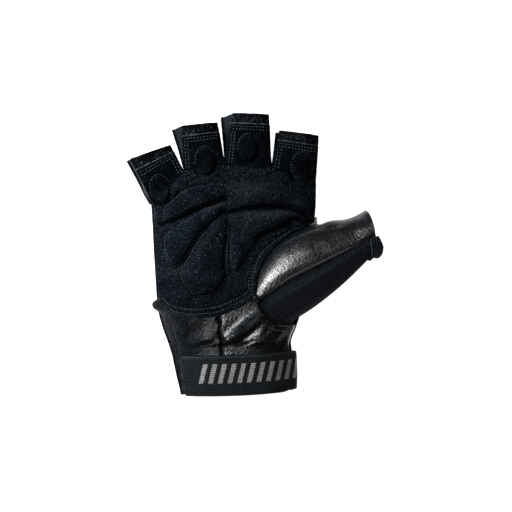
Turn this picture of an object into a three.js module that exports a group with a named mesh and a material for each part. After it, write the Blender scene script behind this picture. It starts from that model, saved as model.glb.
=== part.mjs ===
// A fingerless weightlifting glove for the right hand, lying palm up on its back, in millimetres.
// +Z is up. X runs from the little finger's side to the thumb, and Y from the wrist to the fingers.
// Until the last lines, Y is 0 at the lowest point of the palm's hem and X is 0 halfway across the knuckles.

import * as THREE from "three";

// Driving dimensions
const PALM_WIDTH = 102.4; // across the knuckles
const PALM_LENGTH = 94.4; // from the palm's hem to the crotches between the fingers
const WRIST_WIDTH = 73.6; // across the cuff under the strap
const CUFF_LENGTH = 50; // from the palm's hem to the cuff's lower end
const HAND_THICKNESS = 30; // from the floor to the crown of the palm's leather
const FINGER_REACH = 34.3; // from its crotches to the end of the longest finger stall
const FINGER_WIDTH = 25.6; // a finger stall's flat width
const FINGER_THICKNESS = 17; // a finger stall's palm side to its back
const FINGER_CURL = 6.5; // how far the ends of the stalls bend up from the floor
const THUMB_WIDTH = 30.8; // the thumb stall's mouth, across
const THUMB_THICKNESS = 21; // the thumb stall's mouth, palm side to back
const THUMB_RISE = 20; // the middle of the thumb stall's mouth above the floor
const THUMB_REACH = 85.8; // from the knuckles' middle to the middle of the thumb's mouth, along X
const THUMB_LEAN = 33; // degrees from the X axis to the thumb's length
const THUMB_BAND = 4.5; // the knit band at the thumb's mouth
const STRAP_WIDTH = 24.8; // one-inch elastic
const STRAP_SLANT = 3.2; // how much higher the strap runs at the thumb side
const STRAP_END = 6; // from the back's outer edge to the strap's sewn end
const HEM_LENGTH = 6; // the band that ends each finger stall
const PAD_HEIGHT = 3.2; // foam pads of the palm
const FINGER_PAD_HEIGHT = 2; // foam pads at the roots of the fingers

// Thicknesses of the materials
const SUEDE = 1.5;
const LEATHER = 1.3;
const KNIT = 1.4;
const ELASTIC = 1.5;
const PAD_RIM = 0.5; // a pad at its stitched edge

// Gaps and overlaps of the seams
const GAP = 0.35; // between pieces that touch
const SEAM_INSET = 0.5; // how far a side wall stands in from the edge of the panel above it
const WALL_TOP_GAP = 0.6; // between a side wall and the palm side it is sewn to
const WALL_LOW_GAP = 0.75; // between a side wall and the back panel
const BAND_STEP = 0.3; // how far a finger's end band lies below the suede
const HEM_OVERLAP = 4; // how far the cuff's leather runs up under the palm's hem
const OVERLAP = 3; // how far a lapped seam's lower piece runs under the upper one
const ROOT_TOP_SLACK = 0.45; // between the thumb stall's root and the palm side over it
const ROOT_LOW_SLACK = 0.35; // between the thumb stall's root and the back panel under it

// Bulges of the seams and edges
const WALL_BULGE = 0.6; // side walls
const CUFF_BULGE = 1.2; // the cuff's thumb side, between its palm side and its back
const BINDING_TAB = 4; // the binding's loose upper end
const BAND_FLARE = 0.8; // how far the thumb's band widens towards its end
const STRAP_CLEAR = 2; // how far above the strap the cuff's back is still lifted by it
const STRAP_RUN = 8; // how far above the strap the cuff's back is down on the floor again

// Shares and powers of the forms
const CROWN_POWER = 3.2; // the palm side's crown over its width
const FLAT_SHARE = 0.6; // the flat part of the back, of its half width
const FINGER_POWER = 3.6; // a stall's crown over its width
const FINGER_CROWN = 0.2; // the crown of a stall's palm side over its edges, of FINGER_THICKNESS
const FINGER_TURN = 0.16; // how far the edges of a stall's back turn up, of FINGER_THICKNESS
const CURL_POWER = 1.6; // how late along a stall it bends up
const STALL_BLEND = 0.5; // the part of a stall over which the palm's form gives way to its own
const CORNER_DROP = 0.5; // how far the back's corner at a stall's mouth drops, of how far it moves out
const PAD_POWER = 4; // a pad's dome from its middle to its rim
const WALL_MIDDLE = 0.5; // the height at which a wall bulges most
const TAB_SHARE = 0.25; // the part of the binding that stands out
const HANDLE = 0.3; // how far the thumb's lines run along it at both ends, of their length
const BAND_START = 0.6; // where the thumb's band begins between the last two points of its lines
const KNIT_START = 0.12; // from the thumb's leather to its knit, in rows of THUMB_ROOT
const BAND_STOP = 0.2; // from the end of the thumb's band to the leather, in rows of THUMB_ROOT
const LIMITS = { front: 1.05, back: 1.1, stall: 1.15 }; // where each form is held level, in half widths

// Steps of the faceted surfaces
const SLOPE_STEP = 0.4; // over which a surface's slope is taken
const WELD = 0.001; // points closer than this are one
const STALL_COLUMNS = 6;
const STALL_ROWS = { front: 5, back: 4, band: 2 };
const PALM_ROWS = 12;
const THUMB_EDGE_ROWS = 8; // the palm's rows that lie along the thumb
const BACK_SHARES = [0, 0.1, 0.19, 0.22, 0.25, 0.3, 0.38, 0.47, 0.56, 0.65, 0.74, 0.83, 0.92, 1];
const PAD_RINGS = [1, 0.93, 0.8, 0.5];
const PALM_PAD_STEPS = 24;
const FINGER_PAD_STEPS = 14;
const WALL_STEPS = { stall: 5, crotch: 6, outer: 10, index: 4 };
const CUFF_COLUMNS = 8;
const CUFF_ROWS = 12;
const OPEN_ROWS = 0.8; // the part of the cuff's rows that lie close together, above the strap
const OPEN_SHARE = 0.6; // the part of the cuff's length that they cover
const CUFF_SIDE_STEPS = 4;
const BINDING_STEPS = 12;
const THUMB_ROWS = 9;
const STRAP_COLUMNS = 14;
const STRAP_ROWS = 4;
const BEND_STEPS = 6;

const radians = THREE.MathUtils.degToRad;
const mix = THREE.MathUtils.lerp;
const ease = THREE.MathUtils.smoothstep;
const range = (n) => Array.from({ length: n + 1 }, (_, i) => i / n);
const point = (x, y, z = 0) => new THREE.Vector3(x, y, z);
const table = (columns, rows) =>
  rows.map((row) => Object.fromEntries(columns.map((column, i) => [column, row[i]])));

// Sections of the hand and cuff, from the cuff's end to the fingers.
// along is a share of CUFF_LENGTH below the hem and of PALM_LENGTH above it.
// left, right (of the palm side) and backLeft, backRight are shares of WRIST_WIDTH or PALM_WIDTH.
// crown, edge (of the palm side) and backEdge, thumbEdge (of the back) are shares of HAND_THICKNESS.
const WIDTHS = ["left", "right", "backLeft", "backRight"];
const HEIGHTS = ["crown", "edge", "backEdge", "thumbEdge"];
const CUFF_SECTIONS = table(["along", ...WIDTHS, ...HEIGHTS], [
  [-1.0, -0.461, 0.513, -0.474, 0.513, 0.7, 0.4, 0.17, 0.17],
  [-0.74, -0.476, 0.517, -0.513, 0.517, 0.72, 0.42, 0.17, 0.17],
  [-0.49, -0.493, 0.509, -0.548, 0.509, 0.75, 0.44, 0.15, 0.15],
  [-0.32, -0.528, 0.491, -0.587, 0.491, 0.8, 0.47, 0.14, 0.12],
]);
const HAND_SECTIONS = table(["along", ...WIDTHS, ...HEIGHTS], [
  [-0.12, -0.406, 0.386, -0.456, 0.386, 0.87, 0.51, 0.13, 0.05],
  [0.04, -0.443, 0.413, -0.481, 0.413, 0.94, 0.55, 0.13, 0],
  [0.14, -0.47, 0.431, -0.491, 0.431, 0.98, 0.58, 0.13, 0],
  [0.25, -0.484, 0.453, -0.498, 0.453, 1.0, 0.6, 0.13, 0],
  [0.46, -0.494, 0.484, -0.509, 0.484, 0.97, 0.6, 0.14, 0],
  [0.63, -0.498, 0.503, -0.517, 0.5, 0.9, 0.58, 0.15, 0.12],
  [0.78, -0.506, 0.506, -0.528, 0.5, 0.83, 0.56, 0.17, 0.17],
  [1.0, -0.54, 0.51, -0.56, 0.503, 0.78, 0.53, 0.17, 0.17],
  [1.4, -0.6, 0.52, -0.62, 0.51, 0.75, 0.5, 0.17, 0.17],
]);
const SECTIONS = [
  ...CUFF_SECTIONS.map((row) => ({ ...row, width: WRIST_WIDTH })),
  ...HAND_SECTIONS.map((row) => ({ ...row, width: PALM_WIDTH })),
];

// Finger stalls. base is where the stall leaves the palm at its two crotches, as shares of PALM_WIDTH and
// PALM_LENGTH. reach is a share of FINGER_REACH and end of FINGER_WIDTH. lean and skew are degrees, of the
// stall and of its mouth. rootLeft, showLeft and showRight move the back's corners at the root and at the
// mouth, as shares of FINGER_WIDTH.
const FINGER_COLUMNS = ["name", "base", "lean", "reach", "end", "skew", "rootLeft", "showLeft", "showRight"];
const FINGERS = table(FINGER_COLUMNS, [
  ["little", [[-0.508, 0.776], [-0.314, 0.987]], -27.9, 0.73, 1.094, -7.9, -0.13, -0.04, -0.06],
  ["ring", [[-0.314, 0.987], [-0.059, 1.025]], -6.8, 0.827, 0.94, -1, 0, -0.24, -0.1],
  ["middle", [[-0.059, 1.025], [0.23, 1.0]], 2.6, 1, 0.945, 0.5, 0, -0.29, -0.1],
  ["index", [[0.23, 1.0], [0.509, 0.932]], 7.1, 0.773, 1.019, -0.2, 0, -0.08, -0.05],
]);

// Edges of the palm's suede, as shares of PALM_WIDTH and PALM_LENGTH: the curved hem, the edge round the
// thumb, and the edge from there up the index finger's side.
const HEM_EDGE = [
  [-0.461, 0.087], [-0.397, 0.035], [-0.289, 0.004], [-0.209, 0], [-0.106, 0.013], [-0.01, 0.052],
  [0.1, 0.121],
];
const THUMB_EDGE = [
  [0.128, 0.155], [0.131, 0.183], [0.139, 0.267], [0.166, 0.351], [0.214, 0.442], [0.286, 0.52],
  [0.369, 0.579], [0.44, 0.617], [0.492, 0.645],
];
const INDEX_EDGE = [[0.496, 0.66], [0.506, 0.75], [0.509, 0.932]];

// Foam pads of the palm, as closed outlines in the same shares.
const PALM_PADS = {
  palm_pad_knuckles_outer: [
    [-0.436, 0.652], [-0.43, 0.74], [-0.33, 0.84], [-0.2, 0.893], [-0.06, 0.905], [-0.04, 0.86],
    [-0.07, 0.808], [-0.2, 0.738], [-0.33, 0.667], [-0.41, 0.64],
  ],
  palm_pad_knuckles_inner: [
    [-0.02, 0.9], [0.1, 0.915], [0.25, 0.9], [0.4, 0.87], [0.47, 0.8], [0.47, 0.71], [0.4, 0.735],
    [0.25, 0.748], [0.08, 0.735], [-0.02, 0.75],
  ],
  palm_pad_little: [
    [-0.43, 0.55], [-0.385, 0.6], [-0.3, 0.65], [-0.16, 0.74], [-0.06, 0.795], [-0.055, 0.72],
    [-0.17, 0.62], [-0.24, 0.53], [-0.3, 0.44], [-0.345, 0.37], [-0.39, 0.35], [-0.425, 0.39],
    [-0.436, 0.47],
  ],
  palm_pad_heel: [
    [-0.05, 0.69], [-0.15, 0.61], [-0.22, 0.52], [-0.29, 0.41], [-0.33, 0.32], [-0.32, 0.24],
    [-0.26, 0.17], [-0.19, 0.146], [-0.12, 0.17], [-0.065, 0.24], [-0.055, 0.32], [-0.062, 0.45],
    [-0.05, 0.6],
  ],
  palm_pad_thumb: [
    [-0.035, 0.7], [0.06, 0.715], [0.2, 0.725], [0.3, 0.715], [0.325, 0.66], [0.27, 0.6], [0.17, 0.55],
    [0.125, 0.49], [0.085, 0.41], [0.045, 0.34], [0.01, 0.305], [-0.02, 0.32], [-0.03, 0.4],
    [-0.03, 0.55],
  ],
};

// Foam pads at the roots of the fingers: centre in the same shares, half width (wide) and half height
// (high) as shares of FINGER_WIDTH, and turn in degrees.
const FINGER_PADS = {
  little: { centre: [-0.467, 0.871], wide: 0.25, high: 0.37, turn: 12 },
  ring: { centre: [-0.184, 1.056], wide: 0.25, high: 0.37, turn: 4 },
  middle: { centre: [0.085, 1.153], wide: 0.25, high: 0.35, turn: 0 },
  index: { centre: [0.424, 1.021], wide: 0.275, high: 0.38, turn: -3 },
};

// Folds of the cuff's leather: middle as shares of PALM_WIDTH and CUFF_LENGTH, turn in degrees, then half
// length (long), half width (wide) and height (high) as shares of CUFF_LENGTH.
const CUFF_FOLDS = [
  { middle: [0.045, -0.136], turn: 40, long: 0.4, wide: 0.075, high: 0.05 },
  { middle: [0.06, -0.28], turn: 40, long: 0.26, wide: 0.07, high: -0.025 },
  { middle: [0.15, -0.33], turn: 38, long: 0.28, wide: 0.08, high: 0.04 },
  { middle: [-0.19, -0.3], turn: 38, long: 0.3, wide: 0.09, high: 0.03 },
  { middle: [-0.26, -0.2], turn: 42, long: 0.24, wide: 0.08, high: -0.016 },
];

// The seam down the cuff, as shares of PALM_WIDTH and CUFF_LENGTH, the inner piece's upper edge, as shares
// of PALM_WIDTH and PALM_LENGTH, and where its thumb side begins, as a share of CUFF_LENGTH.
const CUFF_SEAM = [[-0.1, 0.035], [-0.075, -0.49], [-0.07, -0.97]];
const CUFF_TOP_EDGE = [
  [-0.01, 0.1], [0.07, 0.145], [0.11, 0.1], [0.15, 0.05], [0.205, -0.012], [0.28, -0.06],
];
const CUFF_SIDE_TOP = -0.12;

// The thumb stall's root, as a ring. mouth is the angle in degrees of the same line at the stall's mouth,
// 0 towards the index finger and 90 on the palm side. x and y are shares of PALM_WIDTH and PALM_LENGTH (or
// CUFF_LENGTH below 0), and rise is the share of the way up from the back panel to the palm side. inX and
// inY are the way in under the piece it is sewn to, as shares of OVERLAP, and up and out bulge the stall
// there, as shares of HAND_THICKNESS.
const THUMB_ROOT = table(["mouth", "x", "y", "rise", "inX", "inY", "up", "out"], [
  [97, 0.143, 0.106, 1, -0.3, 1, 0.3, 0.1],
  [80, 0.134, 0.19, 1, -1, 0, 0.4, 0.06],
  [62, 0.154, 0.31, 1, -1, 0.2, 0.42, 0.03],
  [45, 0.22, 0.445, 1, -0.8, 0.6, 0.36, 0],
  [27, 0.32, 0.54, 1, -0.5, 0.9, 0.26, -0.08],
  [8, 0.43, 0.607, 1, -0.4, 0.9, 0.1, -0.2],
  [-18, 0.522, 0.63, 0.5, 0, 1, 0, -0.26],
  [-48, 0.508, 0.58, 0, -1, 0.3, 0, -0.1],
  [-88, 0.474, 0.37, 0, -1, 0, 0, 0],
  [-128, 0.434, 0.14, 0, -1, 0, 0, 0],
  [-160, 0.402, 0, 0.15, -0.9, -0.4, 0, 0],
  [-185, 0.385, -0.07, 0.5, -0.5, -0.8, 0, 0.05],
  [-210, 0.34, -0.07, 1, 0, -1, 0.05, 0.1],
  [-233, 0.25, -0.03, 1, -0.5, -0.9, 0.15, 0.12],
  [-251, 0.18, 0.045, 1, -0.9, -0.5, 0.24, 0.12],
]);
const LEATHER_ROWS = 6.5; // the stall is leather up to this row, and knit from there round
const MOUTH = { y: 0.564, turn: 10, tip: 21 }; // y is a share of PALM_LENGTH, turn and tip are degrees

const alongY = (share) => share * (share < 0 ? CUFF_LENGTH : PALM_LENGTH);
const onPalm = ([x, y]) => point(x * PALM_WIDTH, alongY(y));
const onCuff = ([x, y]) => point(x * PALM_WIDTH, y * CUFF_LENGTH);

// A column of the sections at a height y, by a cubic through the four nearest rows.
const sectionY = SECTIONS.map((row) => alongY(row.along));
function section(column, y) {
  const held = THREE.MathUtils.clamp(y, sectionY[0], sectionY.at(-1));
  const i = Math.max(sectionY.findIndex((rowY) => rowY >= held), 1);
  const value = (n) => {
    const row = SECTIONS[THREE.MathUtils.clamp(n, 0, SECTIONS.length - 1)];
    return row[column] * (WIDTHS.includes(column) ? row.width : HAND_THICKNESS);
  };
  const t = (held - sectionY[i - 1]) / (sectionY[i] - sectionY[i - 1]);
  const [a, b, c, d] = [value(i - 2), value(i - 1), value(i), value(i + 1)];
  return b + 0.5 * t * (c - a + t * (2 * a - 5 * b + 4 * c - d + t * (3 * (b - c) + d - a)));
}

// Where the strap lies: onStrap is 1 on it and 0 off it, and side is -1 at the outer edge and 1 at the thumb.
const strapLow = -CUFF_LENGTH;
const strapTop = strapLow + STRAP_WIDTH + STRAP_SLANT;
const strapSlant = (x) => STRAP_SLANT * ease(x, -WRIST_WIDTH / 2, WRIST_WIDTH / 2);
const strapY = (x, t) => strapLow + t * STRAP_WIDTH + strapSlant(x);
const cuffLow = (side) => strapLow + GAP + (side + 1) * 0.5 * STRAP_SLANT;
const onStrap = (y) => 1 - ease(y, strapTop + STRAP_CLEAR, strapTop + STRAP_RUN);

// The palm side of the hand: a crowned surface over its width.
function handFront(x, y) {
  const [left, right] = [section("left", y), section("right", y)];
  const t = Math.min(Math.abs((2 * x - left - right) / (right - left)), LIMITS.front);
  const edge = section("edge", y);
  return edge + (section("crown", y) - edge) * (1 - t ** CROWN_POWER);
}

// The back of the hand: flat on the floor, with its edges turned up, and lifted on the strap at the wrist.
function handBack(x, y) {
  const [left, right] = [section("backLeft", y), section("backRight", y)];
  const t = (2 * x - left - right) / (right - left);
  const rise = section(t < 0 ? "backEdge" : "thumbEdge", y);
  const turned = Math.max(0, (Math.abs(t) - FLAT_SHARE) / (1 - FLAT_SHARE));
  return onStrap(y) * (ELASTIC + GAP) + Math.max(0, rise) * Math.min(turned, LIMITS.back) ** 2;
}

// A finger stall's own frame, for its palm side or its back: along it 0 at the root and 1 at the mouth, and
// across it -1 to 1. corner gives a place in plan and height the surface over it.
function stall(row, side) {
  const [left, right] = row.base.map(onPalm);
  if (side === "back") left.x += row.rootLeft * FINGER_WIDTH;
  const lean = radians(row.lean);
  const axis = point(Math.sin(lean), Math.cos(lean));
  const mid = left.clone().add(right).multiplyScalar(0.5);
  const mouth = mid.clone().addScaledVector(axis, row.reach * FINGER_REACH);
  const turn = radians(row.skew - row.lean);
  const edge = point(Math.cos(turn), Math.sin(turn)).multiplyScalar(0.5 * row.end * FINGER_WIDTH);
  const mouthLeft = mouth.clone().sub(edge);
  const mouthRight = mouth.clone().add(edge);
  if (side === "back") {
    mouthLeft.x += row.showLeft * FINGER_WIDTH;
    mouthRight.x += row.showRight * FINGER_WIDTH;
    mouthLeft.y += CORNER_DROP * row.showLeft * FINGER_WIDTH;
  }
  const corner = (s, v) => {
    const u = (s + 1) / 2;
    return left.clone().lerp(right, u).lerp(mouthLeft.clone().lerp(mouthRight, u), v);
  };
  const local = (x, y) => {
    const from = point(x, y).sub(mid);
    const v = from.dot(axis) / (row.reach * FINGER_REACH);
    const held = THREE.MathUtils.clamp(v, 0, 1);
    const middle = corner(0, held);
    const half = 0.5 * corner(1, held).distanceTo(corner(-1, held));
    return { v, s: (x - middle.x) * Math.cos(turn) / half + (y - middle.y) * Math.sin(turn) / half };
  };
  const top = section("crown", PALM_LENGTH);
  const height = (x, y) => {
    const { v, s } = local(x, y);
    const own = Math.min(Math.abs(s), LIMITS.stall) ** FINGER_POWER;
    const lift = FINGER_CURL * Math.max(0, v) ** CURL_POWER;
    const blend = ease(v, 0, STALL_BLEND);
    if (side === "back") return mix(handBack(x, y), lift + FINGER_TURN * FINGER_THICKNESS * own, blend);
    const crown = mix(top, FINGER_THICKNESS, ease(v, 0, 1)) - FINGER_CROWN * FINGER_THICKNESS * own;
    return mix(handFront(x, y), lift + crown, blend);
  };
  return { row, left, right, corner, height };
}
const fronts = FINGERS.map((row) => stall(row, "front"));
const backs = FINGERS.map((row) => stall(row, "back"));

// The point at (x, y) of a height function, moved along its normal.
function offset(height, x, y, depth) {
  const slopeX = (height(x + SLOPE_STEP, y) - height(x - SLOPE_STEP, y)) / (2 * SLOPE_STEP);
  const slopeY = (height(x, y + SLOPE_STEP) - height(x, y - SLOPE_STEP)) / (2 * SLOPE_STEP);
  const normal = point(-slopeX, -slopeY, 1).normalize();
  return point(x, y, height(x, y)).addScaledVector(normal, depth);
}

function geometry(points, faces) {
  const made = new THREE.BufferGeometry();
  made.setAttribute("position", new THREE.Float32BufferAttribute(points.flatMap((p) => p.toArray()), 3));
  made.setIndex(faces.flat());
  made.computeVertexNormals();
  return made;
}

// One closed solid from grids that share their edges: the grids' own faces outside, and the same faces
// moved in by the thickness. below moves the whole sheet in.
function sheet(grids, thickness, below = 0) {
  const places = new Map();
  const outer = [];
  const index = (p) => {
    const key = [p.x, p.y, p.z].map((c) => Math.round(c / WELD)).join();
    if (!places.has(key)) places.set(key, outer.push(p) - 1);
    return places.get(key);
  };
  const faces = [];
  for (const grid of grids) {
    for (let i = 1; i < grid.length; i++) {
      for (let j = 1; j < grid[i].length; j++) {
        const [a, b, c, d] = [grid[i - 1][j - 1], grid[i - 1][j], grid[i][j], grid[i][j - 1]].map(index);
        const short = outer[a].distanceTo(outer[c]) <= outer[b].distanceTo(outer[d]);
        const halves = short ? [[a, b, c], [a, c, d]] : [[a, b, d], [b, c, d]];
        faces.push(...halves.filter((face) => new Set(face).size === 3));
      }
    }
  }
  const normals = outer.map(() => point(0, 0));
  for (const face of faces) {
    const [a, b, c] = face.map((i) => outer[i]);
    const normal = b.clone().sub(a).cross(c.clone().sub(a));
    face.forEach((i) => normals[i].add(normal));
  }
  normals.forEach((normal) => normal.normalize());
  const skin = (depth) => outer.map((p, i) => p.clone().addScaledVector(normals[i], -depth));
  const n = outer.length;
  const used = new Set(faces.flatMap(([a, b, c]) => [`${a},${b}`, `${b},${c}`, `${c},${a}`]));
  const closed = faces.flatMap(([a, b, c]) => [[a, b, c], [a + n, c + n, b + n]]);
  for (const edge of used) {
    const [a, b] = edge.split(",").map(Number);
    if (!used.has(`${b},${a}`)) closed.push([b, a, a + n], [b, a + n, b + n]);
  }
  return geometry([...skin(below), ...skin(below + thickness)], closed);
}

// A smooth curve through points, sampled at shares of its length.
function curve(points, shares, closed = false) {
  const made = new THREE.CatmullRomCurve3(points, closed, "centripetal");
  return (closed ? shares.slice(1) : shares).map((t) => made.getPointAt(t));
}

// A grid between four edges in plan, by a Coons patch. Each edge is a list of points, with bottom and top
// from left to right and left and right from bottom to top.
function patch(bottom, top, left, right, lift) {
  const [rows, columns] = [left.length - 1, bottom.length - 1];
  return left.map((_, i) =>
    bottom.map((__, j) => {
      const [u, v] = [j / columns, i / rows];
      const p = bottom[j].clone().multiplyScalar(1 - v).addScaledVector(top[j], v);
      p.addScaledVector(left[i], 1 - u).addScaledVector(right[i], u);
      p.addScaledVector(bottom[0], -(1 - u) * (1 - v)).addScaledVector(bottom[columns], -u * (1 - v));
      p.addScaledVector(top[0], -(1 - u) * v).addScaledVector(top[columns], -u * v);
      return lift(p.x, p.y);
    }),
  );
}

const group = new THREE.Group();
function add(name, made, material) {
  const mesh = new THREE.Mesh(made, material);
  mesh.name = name;
  group.add(mesh);
}
const finish = (color, roughness) => new THREE.MeshStandardMaterial({ color, roughness, metalness: 0 });
const suede = finish(0x1b2228, 0.95);
const suedePad = finish(0x1e252b, 0.95);
const leather = finish(0x2a2d31, 0.42);
const knit = finish(0x15191d, 0.9);
const elastic = finish(0x22282b, 0.85);
const binding = finish(0x26292d, 0.6);

// Palm panel: one piece of suede from the hem to the finger stalls' end bands.
const hemShare = ({ row }) => 1 - HEM_LENGTH / (row.reach * FINGER_REACH);
const rootLine = (stalls) =>
  stalls.flatMap(({ corner }, k) => range(STALL_COLUMNS).slice(k ? 1 : 0).map((u) => corner(2 * u - 1, 0)));
function stallGrid({ corner }, from, to, rows, lift) {
  return range(rows).map((v) =>
    range(STALL_COLUMNS).map((u) => {
      const p = corner(2 * u - 1, mix(from, to, v));
      return lift(p.x, p.y);
    }),
  );
}
const sideLine = (column, fromY, toY, shares) =>
  shares.map((t) => {
    const y = mix(fromY, toY, t);
    return point(section(column, y), y);
  });
function palmPanel() {
  const top = rootLine(fronts);
  const hem = curve([...HEM_EDGE, THUMB_EDGE[0]].map(onPalm), range(top.length - 1));
  const left = sideLine("left", hem[0].y, top[0].y, range(PALM_ROWS));
  hem[0].copy(left[0]);
  left[PALM_ROWS].copy(top[0]);
  const roundThumb = curve(THUMB_EDGE.map(onPalm), range(THUMB_EDGE_ROWS));
  const upIndex = curve([THUMB_EDGE.at(-1), ...INDEX_EDGE].map(onPalm), range(PALM_ROWS - THUMB_EDGE_ROWS));
  const right = [...roundThumb, ...upIndex.slice(1)];
  hem.at(-1).copy(right[0]);
  right[PALM_ROWS].copy(top.at(-1));
  const palm = patch(hem, top, left, right, (x, y) => point(x, y, handFront(x, y)));
  const stalls = fronts.map((front) =>
    stallGrid(front, 0, hemShare(front), STALL_ROWS.front, (x, y) => point(x, y, front.height(x, y))),
  );
  return sheet([palm, ...stalls], SUEDE);
}
add("palm_panel", palmPanel(), suede);

// Foam pads: a closed outline filled with rings, domed on top and following the leather under it.
function pad(outline, height, rise) {
  const n = outline.length;
  const middle = outline.reduce((sum, p) => sum.add(p), point(0, 0)).divideScalar(n);
  const layer = (depth) =>
    PAD_RINGS.flatMap((ring) =>
      outline.map((p) => {
        const at = middle.clone().lerp(p, ring);
        return offset(height, at.x, at.y, depth(ring));
      }),
    ).concat(offset(height, middle.x, middle.y, depth(0)));
  const top = layer((ring) => GAP + PAD_RIM + (rise - PAD_RIM) * Math.sqrt(1 - ring ** PAD_POWER));
  const bottom = layer(() => GAP);
  const count = top.length;
  const faces = [];
  for (let k = 0; k < n; k++) {
    const next = (k + 1) % n;
    for (let r = 0; r + 1 < PAD_RINGS.length; r++) {
      const [a, b, c, d] = [r * n + k, r * n + next, (r + 1) * n + next, (r + 1) * n + k];
      faces.push([a, b, c], [a, c, d], [a + count, c + count, b + count], [a + count, d + count, c + count]);
    }
    const [a, b] = [(PAD_RINGS.length - 1) * n + k, (PAD_RINGS.length - 1) * n + next];
    faces.push([a, b, count - 1], [a + count, 2 * count - 1, b + count]);
    faces.push([next, k, k + count], [next, k + count, next + count]);
  }
  const turned = THREE.ShapeUtils.isClockWise(outline);
  return geometry([...top, ...bottom], turned ? faces.map(([a, b, c]) => [a, c, b]) : faces);
}
for (const [name, rows] of Object.entries(PALM_PADS)) {
  add(name, pad(curve(rows.map(onPalm), range(PALM_PAD_STEPS), true), handFront, PAD_HEIGHT), suedePad);
}
FINGERS.forEach(({ name }, k) => {
  const { centre, wide, high, turn } = FINGER_PADS[name];
  const outline = range(FINGER_PAD_STEPS).slice(1).map((t) => {
    const angle = 2 * Math.PI * t;
    return point(Math.cos(angle) * wide * FINGER_WIDTH, Math.sin(angle) * high * FINGER_WIDTH)
      .applyAxisAngle(point(0, 0, 1), radians(turn))
      .add(onPalm(centre));
  });
  add(`finger_pad_${name}`, pad(outline, fronts[k].height, FINGER_PAD_HEIGHT), suedePad);
});

// End bands: the strip that shows past the suede at each stall's mouth.
fronts.forEach((front) => {
  const from = hemShare(front) + GAP / (front.row.reach * FINGER_REACH);
  const grid = stallGrid(front, from, 1, STALL_ROWS.band, (x, y) => offset(front.height, x, y, -BAND_STEP));
  add(`end_band_${front.row.name}`, sheet([grid], SUEDE - BAND_STEP), leather);
});

// Back panel: knit, from the cuff to the ends of the stalls, facing down.
function backPanel() {
  const top = rootLine(backs);
  const left = sideLine("backLeft", cuffLow(-1), top[0].y, BACK_SHARES);
  const right = sideLine("backRight", cuffLow(1), top.at(-1).y, BACK_SHARES);
  left[left.length - 1].copy(top[0]);
  right[right.length - 1].copy(top.at(-1));
  const bottom = range(top.length - 1).map((t) => left[0].clone().lerp(right[0], t));
  const hand = patch(bottom, top, left, right, (x, y) => point(x, y, handBack(x, y)));
  const stalls = backs.map((back) =>
    stallGrid(back, 0, 1, STALL_ROWS.back, (x, y) => point(x, y, back.height(x, y))),
  );
  return sheet([hand, ...stalls].map((grid) => grid.map((row) => row.toReversed())), KNIT);
}
add("back_panel", backPanel(), knit);

// Side walls: a strip that stands between the panel above and the back panel, along a list of stations.
// A station gives, for a distance in from the edge, the places under the palm side and over the back.
const underFront = (height, p) => offset(height, p.x, p.y, -(SUEDE + WALL_TOP_GAP));
const overBack = (height, p) => offset(height, p.x, p.y, KNIT + WALL_LOW_GAP);
function wall(stations, thickness) {
  const outerTop = stations.map((at) => at(SEAM_INSET).top);
  const outerLow = stations.map((at) => at(SEAM_INSET).low);
  const innerTop = stations.map((at) => at(SEAM_INSET + thickness).top);
  const innerLow = stations.map((at) => at(SEAM_INSET + thickness).low);
  const middle = (top, low) => top.map((p, i) => {
    const out = outerTop[i].clone().sub(innerTop[i]).setZ(0).normalize();
    return p.clone().lerp(low[i], WALL_MIDDLE).addScaledVector(out, WALL_BULGE);
  });
  const rings = [
    outerTop, middle(outerTop, outerLow), outerLow,
    innerLow, middle(innerTop, innerLow), innerTop,
  ];
  const n = stations.length;
  const faces = [];
  for (let i = 1; i < n; i++) {
    rings.forEach((_, r) => {
      const next = (r + 1) % rings.length;
      const [a, b, c, d] = [r * n + i - 1, r * n + i, next * n + i, next * n + i - 1];
      faces.push([a, c, b], [a, d, c]);
    });
  }
  for (const [end, flip] of [[0, false], [n - 1, true]]) {
    for (const face of [[0, 5, 4], [0, 4, 1], [1, 4, 3], [1, 3, 2]]) {
      const [a, b, c] = face.map((r) => r * n + end);
      faces.push(flip ? [a, c, b] : [a, b, c]);
    }
  }
  return geometry(rings.flat(), faces);
}
function stallStations(k, side, from, to) {
  return range(WALL_STEPS.stall).map((t) => (inset) => {
    const v = mix(from, to, t);
    const place = ({ corner }) => {
      const half = 0.5 * corner(1, v).distanceTo(corner(-1, v));
      return corner(side * (1 - inset / half), v);
    };
    const top = underFront(fronts[k].height, place(fronts[k]));
    return { top, low: overBack(backs[k].height, place(backs[k])) };
  });
}

// Gussets: a knit strip down one finger, round the crotch and up the next.
for (let k = 0; k + 1 < FINGERS.length; k++) {
  const crotch = fronts[k].right;
  const from = fronts[k].left.clone().sub(crotch);
  const to = fronts[k + 1].right.clone().sub(crotch);
  const [first, last] = [Math.atan2(from.y, from.x), Math.atan2(to.y, to.x)];
  const start = first < 0 ? first + 2 * Math.PI : first;
  const round = range(WALL_STEPS.crotch).slice(1, -1).map((t) => (inset) => {
    const angle = mix(start, last + 2 * Math.PI, t);
    const p = crotch.clone().add(point(Math.cos(angle), Math.sin(angle)).multiplyScalar(inset));
    return { top: underFront(handFront, p), low: overBack(handBack, p) };
  });
  const stations = [...stallStations(k, 1, 1, 0), ...round, ...stallStations(k + 1, -1, 0, 1)];
  add(`gusset_${FINGERS[k].name}_${FINGERS[k + 1].name}`, wall(stations.toReversed(), KNIT), knit);
}

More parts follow.
